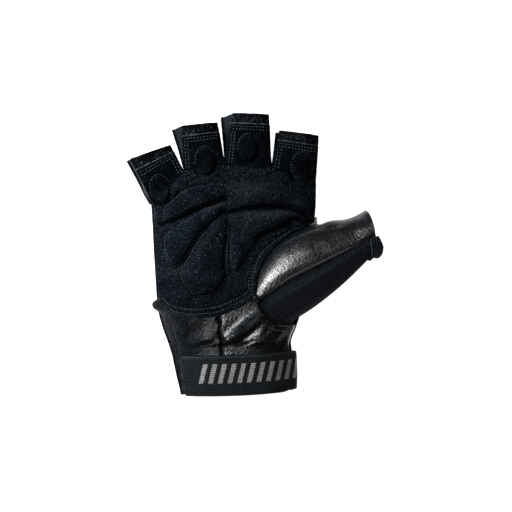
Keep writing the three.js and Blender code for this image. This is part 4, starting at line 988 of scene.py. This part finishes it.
def crotch_stations(name, next_name, count):
    """Places on a small arc round the crotch between two fingers."""
    crotch = fronts[name]["right"]
    first, last = fronts[name]["left"] - crotch, fronts[next_name]["right"] - crotch
    start = math.atan2(first[1], first[0]) % (2 * math.pi)
    angle = np.linspace(start, math.atan2(last[1], last[0]) + 2 * math.pi, count + 2)[1:-1]
    def stand(inset):
        plan = crotch + inset * np.stack([np.cos(angle), np.sin(angle)], -1)
        return standing(plan, plan)
    return stand


def hand_stations(side, from_y, to_y, count):
    """Places down the hand's side between two heights."""
    y = np.linspace(from_y, to_y, count)
    columns = ("left", "back_left") if side < 0 else ("right", "back_right")
    def stand(inset):
        return standing(*(np.stack([section(column, y) - side * inset, y], -1) for column in columns))
    return stand


def wall_grid(stands, bulge=WALL_BULGE, levels=11):
    """A strip between two edges, bowed out by a half sine, with its run along and its height."""
    top, low = (np.concatenate([stand(SEAM_INSET)[k] for stand in stands]) for k in (0, 1))
    inner = np.concatenate([stand(SEAM_INSET + 1)[0] for stand in stands])
    out = (top - inner) * [1, 1, 0]
    out /= np.maximum(np.linalg.norm(out, axis=1, keepdims=True), 1e-9)
    t = np.linspace(0, 1, levels)[None, :, None]
    grid = mix(top[:, None], low[:, None], t) + out[:, None] * bulge * np.sin(math.pi * t)
    run = np.concatenate([[0], np.cumsum(np.linalg.norm(np.diff(low, axis=0), axis=1))])
    facing = np.cross(grid[1:, 1:] - grid[:-1, :-1], grid[:-1, 1:] - grid[1:, :-1])
    if (facing[:, :, :2] * out[:-1, None, :2]).sum() > 0:
        grid, run = grid[::-1], run[::-1]
    high = np.linalg.norm(top - low, axis=1).mean() * np.linspace(0, 1, levels)
    return grid, np.broadcast_to(run[:, None], grid.shape[:2]), np.broadcast_to(high[None], grid.shape[:2])


def leather_finish(name, roughness, gloss, depth, grey=LEATHER_GREY, size=500, stretch=(1, 1, 1), turn=0,
                   black=LEATHER_BLACK):
    """Black full-grain leather: fine wrinkled grain, pulled out at a turn in degrees, rubbed paler on its
    tops and dull in its pits, with gloss that varies slowly and a pale cut edge."""
    made, tree, shader = new_nodes(name)
    grain = noise(tree, size, 2, 0.55, stretch, math.radians(turn))
    fine = noise(tree, size * 2.2, 2, 0.6, stretch, math.radians(turn))
    cloud = noise(tree, 60, 1, 0.5)
    colour = blend_colour(tree, steps(tree, grain, 0.42, 0.66), black, grey)
    raw = times(tree, attribute(tree, "raw"), steps(tree, fine, 0.2, 0.6))
    colour = blend_colour(tree, raw, colour, LEATHER_CUT)
    pits = times(tree, math_node(tree, "SUBTRACT", 1.0, steps(tree, fine, 0.4, 0.6)), 0.14)
    rough = plus(tree, scaled(tree, cloud, 0.12, roughness - 0.06), pits)
    coat(tree, shader, colour, rough, gloss, plus(tree, grain, times(tree, fine, 0.5)), depth)
    return made


gusset_knit = knit_finish("gusset_knit", 1.6, 1.3, 2.4, 0.2)
names = list(STALLS)
up, down = np.linspace(0, 1, 25), np.linspace(1, 0, 25)
for name, after in zip(names, names[1:]):
    stands = [stall_stations(name, 1, down), crotch_stations(name, after, 9), stall_stations(after, -1, up)]
    grid, run, high = wall_grid(stands)
    make_sheet(f"gusset_knit_{name}_{after}", [grid], KNIT, gusset_knit, "knit", f"gusset_{name}_{after}",
               rib=[run + RIB_SLANT * high], course=[high])

cuff_top = -0.12 * CUFF_LENGTH
binding_top = HEM_EDGE[0][1] * PALM_LENGTH + HEM_OVERLAP + GAP
web_y = THUMB_EDGE[-1][1] * PALM_LENGTH + OVERLAP
side_shares = np.linspace(1, 0, 22)
side_leather = leather_finish("side_leather", roughness=0.5, gloss=0.18, depth=0.0003)
grid, run, high = wall_grid([stall_stations("little", -1, side_shares),
                             hand_stations(-1, fronts["little"]["left"][1], binding_top, 70)])
make_sheet("outer_side_leather", [grid], LEATHER, side_leather, "leather", "outer_side_wall", raw=[0 * run])
grid, run, high = wall_grid([stall_stations("index", 1, side_shares),
                             hand_stations(1, fronts["index"]["right"][1], web_y, 30)])
make_sheet("index_side_knit", [grid], KNIT, gusset_knit, "knit", "index_side_wall",
           rib=[run + RIB_SLANT * high], course=[high])

# Cuff: glossy black grain leather in two pieces with a seam between, lapped under the palm's hem. It is soft
# and stands in slanted folds above the strap; the inner piece wraps round the thumb side to the back.
CUFF_COLUMNS = 90
CUFF_ROWS = 140
CUFF_GREY = (0.012, 0.015, 0.018)
CUFF_GRAIN = 0.028
CUFF_GRAIN_TURN = 40
CUFF_SLACK = 0.04
CUFF_BULGE = 1.2
SEAM_TURN, SEAM_TURN_WIDTH = 0.7, 1.3
CUFF_THREAD = (0.12, 0.13, 0.14)
CUFF_SEAM = np.array([[-0.1, 0.035], [-0.075, -0.49], [-0.07, -0.97]]) * [PALM_WIDTH, CUFF_LENGTH]
CUFF_TOP_EDGE = [[-0.01, 0.1], [0.09, 0.15], [0.131, 0.143], [0.137, 0.105], [0.155, 0.06], [0.205, -0.012],
                 [0.28, -0.06]]
CUFF_HEM = [[13.2, 12.0], [15.0, 6.4], [19.6, -1.6], [27.6, -6.6], [38.0, -7.6]]
# Folds: middle, turn in degrees, half length, half width and height, in mm.
CUFF_FOLDS = [
    [4.6, -6.8, 40, 20, 3.2, 2.8], [6.1, -14, 40, 13, 3.2, -1.8], [15.4, -16.5, 38, 14, 3.4, 1.7],
    [-19.5, -15, 38, 15, 4.2, 1.4], [-26.6, -10, 42, 12, 3.6, -0.9], [10, -3, 42, 14, 1.6, 0.5],
    [0, -12.5, 40, 9, 1.5, 0.55], [9, -20.5, 30, 9, 1.6, 0.5], [20, -10, 48, 9, 1.8, -0.7],
    [27, -14, 44, 8, 2.4, 0.7], [-14.5, -20, 34, 6, 1.8, 0.9], [-24, -18, 48, 8, 1.8, 0.4],
    [-31, -8, 55, 8, 2.0, 0.4], [-14, -7, 50, 8, 2.0, -0.5], [33, -19, 60, 5, 2.0, 0.6],
]


def wrinkles(x, y, turn, size, stretch, seed):
    """Fine grain: uneven waves pulled out along one direction, of about unit height."""
    along, beside = turned_to(x, y, 0, 0, turn)
    return ripple(along / stretch, beside, size, seed)


def cuff_height(x, y):
    """The palm's form carried down over the wrist, plus slanted bells, held flat under the strap."""
    rise = np.zeros_like(x)
    for cx, cy, turn, long, wide, high in CUFF_FOLDS:
        dx, dy = turned_to(x, y, cx, cy, turn)
        rise = rise + high * np.exp(-((dx / long) ** 2) - (dy / wide) ** 2)
    slack = CUFF_SLACK * wrinkles(x, y, CUFF_GRAIN_TURN, 5, 2.5, 31)
    return hand_front(x, y) + (1 - on_strap(y)) * (rise + slack)


def cuff_piece_plan(seam, side, top, columns):
    """One cuff piece in plan, from its lower edge up, between seam, side and the edge under the palm."""
    low = mix(seam[-1], side[-1], np.linspace(0, 1, columns + 1)[:, None])
    return between(low, smooth_line(top, np.linspace(0, 1, columns + 1)), seam[::-1], side[::-1])


cuff_shares = np.linspace(0, 1, CUFF_ROWS + 1)
seam_line = smooth_line(CUFF_SEAM, cuff_shares)
outer_side = side_line("left", binding_top - GAP, cuff_low(-1), CUFF_ROWS) + [SEAM_INSET, 0]
outer_seam = seam_line - [GAP / 2, 0]
outer_top = np.concatenate([outer_seam[:1], np.array(HEM_EDGE[3:0:-1]) * on_palm + [0, HEM_OVERLAP],
                            outer_side[:1]])
outer_plan = cuff_piece_plan(outer_seam, outer_side, outer_top, CUFF_COLUMNS)[:, ::-1]
inner_side = side_line("right", cuff_top, cuff_low(1), CUFF_ROWS) - [SEAM_INSET, 0]
inner_seam = seam_line + [GAP / 2, 0]
inner_top = np.concatenate([inner_seam[:1], np.array(CUFF_TOP_EDGE) * on_palm, inner_side[:1]])
inner_plan = cuff_piece_plan(inner_seam, inner_side, inner_top, 2 * CUFF_COLUMNS)


def cuff_face(plan):
    """A cuff piece under the palm's level, turned down a little along the seam where it is sewn."""
    x, y = plan[..., 0], plan[..., 1]
    at_seam = SEAM_TURN * bell(x - np.interp(y, seam_line[::-1, 1], seam_line[::-1, 0]), SEAM_TURN_WIDTH)
    grain = CUFF_GRAIN * wrinkles(x, y, CUFF_GRAIN_TURN, 1.5, 2.2, 33)
    return offset(cuff_height, x, y, -(SUEDE + GAP) - at_seam + grain)


outer_leather, inner_leather = (
    leather_finish(name, roughness, gloss, depth, CUFF_GREY, GRAIN_SIZE, GRAIN_STRETCH, -CUFF_GRAIN_TURN)
    for name, roughness, gloss, depth in (("cuff_outer_leather", 0.2, 0.14, 0.0004),
                                          ("cuff_inner_leather", 0.19, 0.42, 0.0002))
)
grid = cuff_face(outer_plan)
make_sheet("cuff_outer_leather", [grid], LEATHER, outer_leather, "leather", "cuff_leather_outer",
           raw=[0 * grid[..., 0]])
grid = cuff_face(inner_plan)
edge = grid[:, -1]
turned_low = on_surface(edge[:, :2], hand_back, KNIT + GAP)
t = np.linspace(0, 1, 17)[None, :, None]
bulge = CUFF_BULGE * (1 - 0.8 * on_strap(edge[:, 1]))[:, None, None]
wrap = mix(edge[:, None], turned_low[:, None], t) + np.array([1, 0, 0]) * bulge * np.sin(math.pi * t)
raw = [0 * grid[..., 0], 0 * wrap[..., 0]]
raw[0][-1, -30:] = 0.8
raw[1][-1] = 0.4
make_sheet("cuff_inner_leather", [grid, wrap], LEATHER, inner_leather, "leather", "cuff_leather_inner",
           raw=raw)

cuff_hem = smooth_line(CUFF_HEM, np.linspace(0, 1, 60))
cuff_rows = [(cuff_hem + [-1.1 - row, -1.1], lambda x, y: cuff_height(x, y) - (SUEDE + GAP))
             for row in (0, 1.5)]
cuff_thread = thread_finish("black_thread", CUFF_THREAD)
make_piece("cuff_stitching", *lay_stitches(cuff_rows, 17), cuff_thread, "leather")

# Binding: a folded strip of thin grey-black leather that closes the cuff's outer side, loose at its upper
# end and drawn in and out a little by its stitches.
BINDING_TAB = 3.4
BINDING_TAB_END = 0.2
BINDING_PUCKER, BINDING_PUCKER_PITCH = 0.35, 9
BINDING_BULGE, BINDING_LEVELS = 0.9, 17
BINDING_BLACK = (0.0015, 0.0022, 0.0028)
BINDING_GREY = (0.009, 0.011, 0.014)


def binding_stations(count):
    """Places down the cuff's outer side, stood out at the loose end."""
    t = np.linspace(0, 1, count)
    y = mix(binding_top - GAP, cuff_low(-1), t)
    loose = np.minimum(1, t / BINDING_TAB_END)
    out = 2 * BINDING_TAB * (1 - loose) * np.sin(math.pi * loose)
    def stand(inset):
        front = np.stack([section("left", y) + inset - 0.5 * out, y], -1)
        back = np.stack([section("back_left", y) + inset - out, y], -1)
        return standing(front, back, SUEDE + 2 * GAP + LEATHER, KNIT + GAP)
    return stand


binding_leather = leather_finish("binding_leather", 0.4, 0.1, 0.0003, BINDING_GREY, black=BINDING_BLACK)
grid, run, high = wall_grid([binding_stations(70)], BINDING_BULGE, BINDING_LEVELS)
swing = BINDING_PUCKER * np.sin(2 * math.pi * run / BINDING_PUCKER_PITCH)
grid[..., 0] -= swing * np.sin(math.pi * np.linspace(0, 1, BINDING_LEVELS))
make_sheet("side_binding_leather", [grid], LEATHER, binding_leather, "leather", "side_binding",
           raw=[0 * run])

# Thumb stall: a tube from the heel of the thumb to its open mouth. The palm side is the same glossy leather,
# taut and finely wrinkled across; the back is ribbed knit, sewn on lower so that the leather's edge rolls
# over it.
THUMB_WIDTH, THUMB_THICKNESS, THUMB_RISE = 30.8, 21.0, 20.0
THUMB_REACH, THUMB_LEAN, THUMB_BAND = 85.8, 33.0, 4.5
MOUTH_TURN, MOUTH_TIP = 10, 21
PULL = 0.3  # how far the skin keeps to the thumb's direction at both ends, as a share of its length
ROOT_SLACK = 0.35
TUCK = 4.5
THUMB_BELLY = 2.2
SEAM_FILL = 1.2
WEB_FOLD = 1.8
THUMB_GRAIN = 0.014
# The root ring: the mouth's angle, place in shares of the palm, height share, tuck (x, y), bulge up and out.
THUMB_ROOT = np.array([
    [97, 0.143, 0.106, 1, -0.3, 1, 0.3, 0.1], [80, 0.134, 0.19, 1, -1, 0, 0.4, 0.06],
    [62, 0.154, 0.31, 1, -1, 0.2, 0.42, 0.03],
    [45, 0.22, 0.445, 1, -0.8, 0.6, 0.36, 0], [27, 0.32, 0.54, 1, -0.5, 0.9, 0.26, -0.08],
    [8, 0.43, 0.607, 1, -0.4, 0.9, 0.1, -0.2],
    [-18, 0.522, 0.63, 0.5, 0, 1, 0, -0.26], [-48, 0.508, 0.58, 0, -1, 0.3, 0, -0.1],
    [-88, 0.474, 0.37, 0, -1, 0, 0, 0],
    [-128, 0.434, 0.14, 0, -1, 0, 0, 0], [-160, 0.402, 0, 0.15, -0.6, -0.8, 0, 0],
    [-185, 0.385, -0.07, 0.5, -0.2, -1, 0, 0.05],
    [-210, 0.34, -0.07, 1, 0, -1, 0.05, 0.1], [-233, 0.25, -0.03, 1, -0.5, -0.9, 0.15, 0.12],
    [-251, 0.18, 0.045, 1, -0.9, -0.5, 0.24, 0.12],
])
LEATHER_ROWS = 6.5  # how many of the ring's places the leather takes, from its first
KNIT_START = 0.12
BAND_FLARE = 0.8
BAND_ROWS, BAND_SHARES = [7, 10, 11, 12, 13, 14, 14.8], [0.6, 0.6, 0.7, 0.95, 1.0, 0.6, 0.3]
mouth_middle = np.array([THUMB_REACH, 0.564 * PALM_LENGTH, THUMB_RISE])
mouth_turn, mouth_tip, thumb_lean = np.radians([MOUTH_TURN, MOUTH_TIP, THUMB_LEAN])
mouth_across = np.array([-math.sin(mouth_turn), math.cos(mouth_turn), 0])
mouth_up = np.array([math.cos(mouth_turn) * math.sin(mouth_tip), math.sin(mouth_turn) * math.sin(mouth_tip),
                     math.cos(mouth_tip)])
mouth_out = np.cross(mouth_across, mouth_up)
thumb_axis = np.array([math.cos(thumb_lean), math.sin(thumb_lean), 0])
thumb_beside = np.array([-thumb_axis[1], thumb_axis[0], 0])


def round_ring(points, rows):
    """Points on a closed smooth curve at places counted in its own points."""
    n = len(points)
    k = np.floor(rows).astype(int)
    t = (rows - k)[:, None]
    a, b, c, d = (points[(k + j) % n] for j in (-1, 0, 1, 2))
    gap = [np.maximum(np.linalg.norm(q - p, axis=1, keepdims=True), 1e-4) ** 0.5
           for p, q in ((a, b), (b, c), (c, d))]
    m = ((b - a) / gap[0] - (c - a) / (gap[0] + gap[1]) + (c - b) / gap[1]) * gap[1]
    e = ((c - b) / gap[1] - (d - b) / (gap[1] + gap[2]) + (d - c) / gap[2]) * gap[1]
    return b + t * (m + t * (3 * (c - b) - 2 * m - e + t * (2 * (b - c) + m + e)))


def root_points(tuck):
    """The stall's root between the back panel and the palm, moved in under the piece it is sewn to."""
    size = np.where(THUMB_ROOT[:, 2:3] < 0, [PALM_WIDTH, CUFF_LENGTH], on_palm)
    plan = THUMB_ROOT[:, 1:3] * size + THUMB_ROOT[:, 4:6] * tuck
    low = on_surface(plan, hand_back, KNIT - LEATHER + ROOT_SLACK)
    high = on_surface(plan, hand_front, -(SUEDE + ROOT_SLACK + 0.1))
    return mix(low, high, THUMB_ROOT[:, 3:4])


def thumb_surface(rows, steps_along):
    """The stall's skin: for each place round the root, a cubic that leaves along the thumb, bulged up and
    out, and arrives at the oval mouth along the thumb."""
    root, tucked = round_ring(root_points(0), rows), round_ring(root_points(TUCK), rows)
    swell = round_ring(np.concatenate([THUMB_ROOT[:, 6:8], 0 * THUMB_ROOT[:, :1]], 1), rows) * HAND_THICKNESS
    turns = np.append(THUMB_ROOT[:, 0], THUMB_ROOT[0, 0] - 360)
    angle = np.radians(np.interp(rows, np.arange(len(turns)), turns))[:, None]
    wide, thick = THUMB_WIDTH / 2 * np.cos(angle), THUMB_THICKNESS / 2 * np.sin(angle)
    end = mouth_middle + mouth_across * wide + mouth_up * thick
    length = np.linalg.norm(end - root, axis=1, keepdims=True)
    side = np.where(((root - mouth_middle) @ thumb_beside) > 0, 1, -1)[:, None]
    pull = thumb_axis * PULL * length
    leave = root + pull + np.array([0, 0, 1]) * swell[:, :1] + thumb_beside * side * swell[:, 1:2]
    arrive = end - pull
    t = np.linspace(0, 1, steps_along + 1)[None, :, None]
    near = root[:, None] * (1 - t) ** 3 + leave[:, None] * 3 * t * (1 - t) ** 2
    line = near + arrive[:, None] * 3 * t * t * (1 - t) + end[:, None] * t**3
    belly = THUMB_BELLY * bell(rows[:, None] - 11.3, 1.7) * np.sin(math.pi * t[..., 0] ** 1.6)
    web = WEB_FOLD * ease(rows, 3.4, 4.6) * (1 - ease(rows, 7, 9))
    fill = SEAM_FILL * bell(rows[:, None] - 14.1, 0.5) * np.sin(math.pi * t[..., 0])
    web = web[:, None] * bell(line[..., 0] - 62, 7)
    line = line + thumb_beside * (web - belly)[..., None] + np.array([0, 0, 1]) * fill[..., None]
    hidden = mix(tucked[:, None], root[:, None], np.linspace(0, 1, 5)[None, :-1, None])
    return np.concatenate([hidden, line], 1)


def grid_normals(grid):
    """Unit normals of a grid from the cross product of its two central differences."""
    normal = np.cross(np.gradient(grid, axis=1), np.gradient(grid, axis=0))
    return normal / np.maximum(np.linalg.norm(normal, axis=-1, keepdims=True), 1e-9)


def grid_runs(grid):
    """The distance run along each of a grid's two ways."""
    return [np.cumsum(np.linalg.norm(np.diff(grid, axis=way, prepend=first), axis=-1), axis=way)
            for way, first in enumerate((grid[:1], grid[:, :1]))]


thumb_skin = leather_finish("thumb_leather", 0.25, 1.0, 0.0002, LEATHER_GREY, GRAIN_SIZE, GRAIN_STRETCH, 55)
grid = thumb_surface(np.linspace(0, LEATHER_ROWS, 161), 190)
normal = grid_normals(grid)
x, y = grid[..., 0], grid[..., 1]
from_seam, along = grid_runs(grid)
further = ease(along, 12, 34)
roll = -mix(0.5, 1.3, further) * (1 - ease(from_seam, 0, mix(1.8, 3.4, further)))
pucker = 0.05 * np.sin(2 * math.pi * along / 4.3) * bell(from_seam - 2.5, 1.8)
grain = THUMB_GRAIN * wrinkles(x, y, -50, 1.3, 2.0, 43)
slack = mix(0.1, 0.3, ease(along, 35, 60)) * ripple(x, y, 13, 41) * ease(along, 2, 8)
grid = grid + normal * (roll + pucker + grain + slack)[..., None]
raw = np.zeros(grid.shape[:2])
raw[0] = 0.5 * ease(grid[0, :, 0], 50, 62)
raw[:, -1] = 0.25
make_sheet("thumb_leather_shell", [grid], LEATHER, thumb_skin, "leather", "thumb_leather", raw=[raw])

thumb_ribs = knit_finish("thumb_knit", RIB_PITCH, 0.5, 1.9, 0.9)
grid = thumb_surface(np.linspace(LEATHER_ROWS + KNIT_START, len(THUMB_ROOT), 171), 100)
make_sheet("thumb_knit_shell", [grid], KNIT, thumb_ribs, "knit", "thumb_knit", below=LEATHER + GAP,
           rib=[grid @ thumb_axis], course=[grid_runs(grid)[0]])

rows = np.linspace(LEATHER_ROWS + KNIT_START, len(THUMB_ROOT) - 0.2, 120)
skin = thumb_surface(rows, 9)
end = skin[:, -1]
out = end - mouth_middle
out /= np.linalg.norm(out, axis=1, keepdims=True)
start = mix(skin[:, -2], end, 0.6)
reach = THUMB_BAND * np.interp(rows, BAND_ROWS, BAND_SHARES)[:, None]
far = end + mouth_out * reach + out * BAND_FLARE
t = np.linspace(0, 1, 13)[None, :, None]
grid = np.concatenate([mix(start[:, None], end[:, None], t[:, :4]),
                       mix(end[:, None], far[:, None], t[:, 1:])], 1)
down, along = grid_runs(grid)
make_sheet("thumb_band_knit", [grid], KNIT, thumb_ribs, "knit", "thumb_band", rib=[down], course=[along])

# Strap: one-inch woven elastic, charcoal, over the palm side of the cuff, round the thumb side and back
# under it. A row of equal slanted bars is woven in paler yarn on the palm side.
STRAP_COLUMNS = 150
STRAP_ROWS = 44
STRAP_DARK = (0.0018, 0.003, 0.0038)
STRAP_GREY = (0.055, 0.068, 0.073)
STRAP_EDGE_GREY = (0.1, 0.11, 0.115)
STRAP_CORNER = 1.2
STRAP_TURNED_END = 6
WEFT_PITCH, DASH_PITCH = 1.2, 1.5
BAR_GREY = (0.75, 0.71, 0.68)
BAR_START, BAR_PITCH, BAR_COUNT, BAR_SHARE, BAR_SLANT = 8.0, 6.2, 11, 0.5, 0.34
BAR_LOW, BAR_TOP = 7.5, 19.9


def strap_y(x, t):
    """The height of the strap's row t, which climbs more and more towards the thumb side."""
    return STRAP_LOW + t * STRAP_WIDTH + STRAP_SLANT * np.clip(x / WRIST_WIDTH + 0.5, 0, 1.1) ** 2.6


def elastic_finish():
    """Woven elastic: a fine zigzag of yarns, a flat woven edge at the top, and paler slanted bars in the
    middle whose outlines step with the weft."""
    made, tree, shader = new_nodes("woven_elastic")
    run, high = attribute(tree, "run"), attribute(tree, "high")
    row = math_node(tree, "FLOOR", math_node(tree, "DIVIDE", high, WEFT_PITCH))
    zigzag = math_node(tree, "PINGPONG", times(tree, row, 0.3), 0.9)
    dash = math_node(tree, "SINE", times(tree, plus(tree, run, zigzag), 2 * math.pi / DASH_PITCH))
    weft = math_node(tree, "SINE", times(tree, high, 2 * math.pi / WEFT_PITCH))
    yarn = times(tree, steps(tree, dash, -0.2, 0.5), steps(tree, weft, -0.5, 0.4))
    fuzz = noise(tree, 900, 2, 0.6)
    cloud = noise(tree, 110, 3, 0.6)
    tone = times(tree, yarn, scaled(tree, cloud, 1.4, 0.2))
    tone = times(tree, tone, scaled(tree, fuzz, 1.2, 0.3))
    colour = blend_colour(tree, tone, STRAP_DARK, STRAP_GREY)
    slanted = scaled(tree, times(tree, row, WEFT_PITCH), -BAR_SLANT, run)
    order = math_node(tree, "DIVIDE", math_node(tree, "SUBTRACT", slanted, BAR_START), BAR_PITCH)
    bar = math_node(tree, "LESS_THAN", math_node(tree, "FRACT", order), BAR_SHARE)
    begun = math_node(tree, "GREATER_THAN", order, 0)
    going_on = math_node(tree, "LESS_THAN", order, BAR_COUNT)
    field = times(tree, times(tree, attribute(tree, "bars"), times(tree, begun, going_on)), bar)
    threads = times(tree, scaled(tree, weft, 0.35, 0.65), scaled(tree, fuzz, 0.7, 0.45))
    colour = blend_colour(tree, times(tree, field, threads), colour, BAR_GREY)
    colour = blend_colour(tree, times(tree, attribute(tree, "edge"), 0.6), colour, STRAP_EDGE_GREY)
    relief = plus(tree, yarn, times(tree, field, 0.6))
    coat(tree, shader, colour, roughness=0.75, gloss=0.1, relief=relief, depth=0.0003)
    return made


def corner_lift(t):
    """How far the strap's lower edge is drawn up, most at its lowest row."""
    return STRAP_CORNER * (1 - t) ** 5


share = np.linspace(0, 1, STRAP_ROWS + 1)[:, None]
row_y = strap_y(0, share)
strap_left = section("left", row_y) + 2 * SEAM_INSET + LEATHER
strap_right = section("right", row_y) - SEAM_INSET
strap_end = section("back_left", row_y) + STRAP_TURNED_END
u = np.linspace(0, 1, STRAP_COLUMNS + 1)
x = mix(strap_left, strap_right, u)
y = strap_y(x, share) + corner_lift(share) * ease(u, 0.9, 1.0)
sag = 0.12 * ripple(x, y, 16, 51) - 0.25 * bell(share - 0.965, 0.02) - 0.2 * bell(share - 0.03, 0.02)
over = offset(hand_front, x, y, sag)
x = mix(strap_right, strap_end, u[::3])
y = strap_y(x, share) + corner_lift(share)
under = offset(hand_back, x, y, np.full(x.shape, -(ELASTIC + GAP)))
t = np.linspace(0, 1, 20)[None, 1:-1, None]
out = np.array([ELASTIC + GAP + 0.3 * CUFF_BULGE, 0, 0])
bend = mix(over[:, -1:], under[:, :1], t) + out * np.sin(math.pi * t) ** 0.5
grid = np.concatenate([over, bend, under], 1)
run = grid_runs(grid)[1]
high = np.broadcast_to(share * STRAP_WIDTH, run.shape)
bars = ease(high, BAR_LOW - 0.1, BAR_LOW) * (1 - ease(high, BAR_TOP, BAR_TOP + 0.1))
top_fold = bell(high - STRAP_WIDTH + 0.5, 0.35)
make_sheet("wrist_strap_elastic", [grid], ELASTIC, elastic_finish(), "elastic", "wrist_strap",
           run=[run], high=[high], bars=[bars], edge=[top_fold])
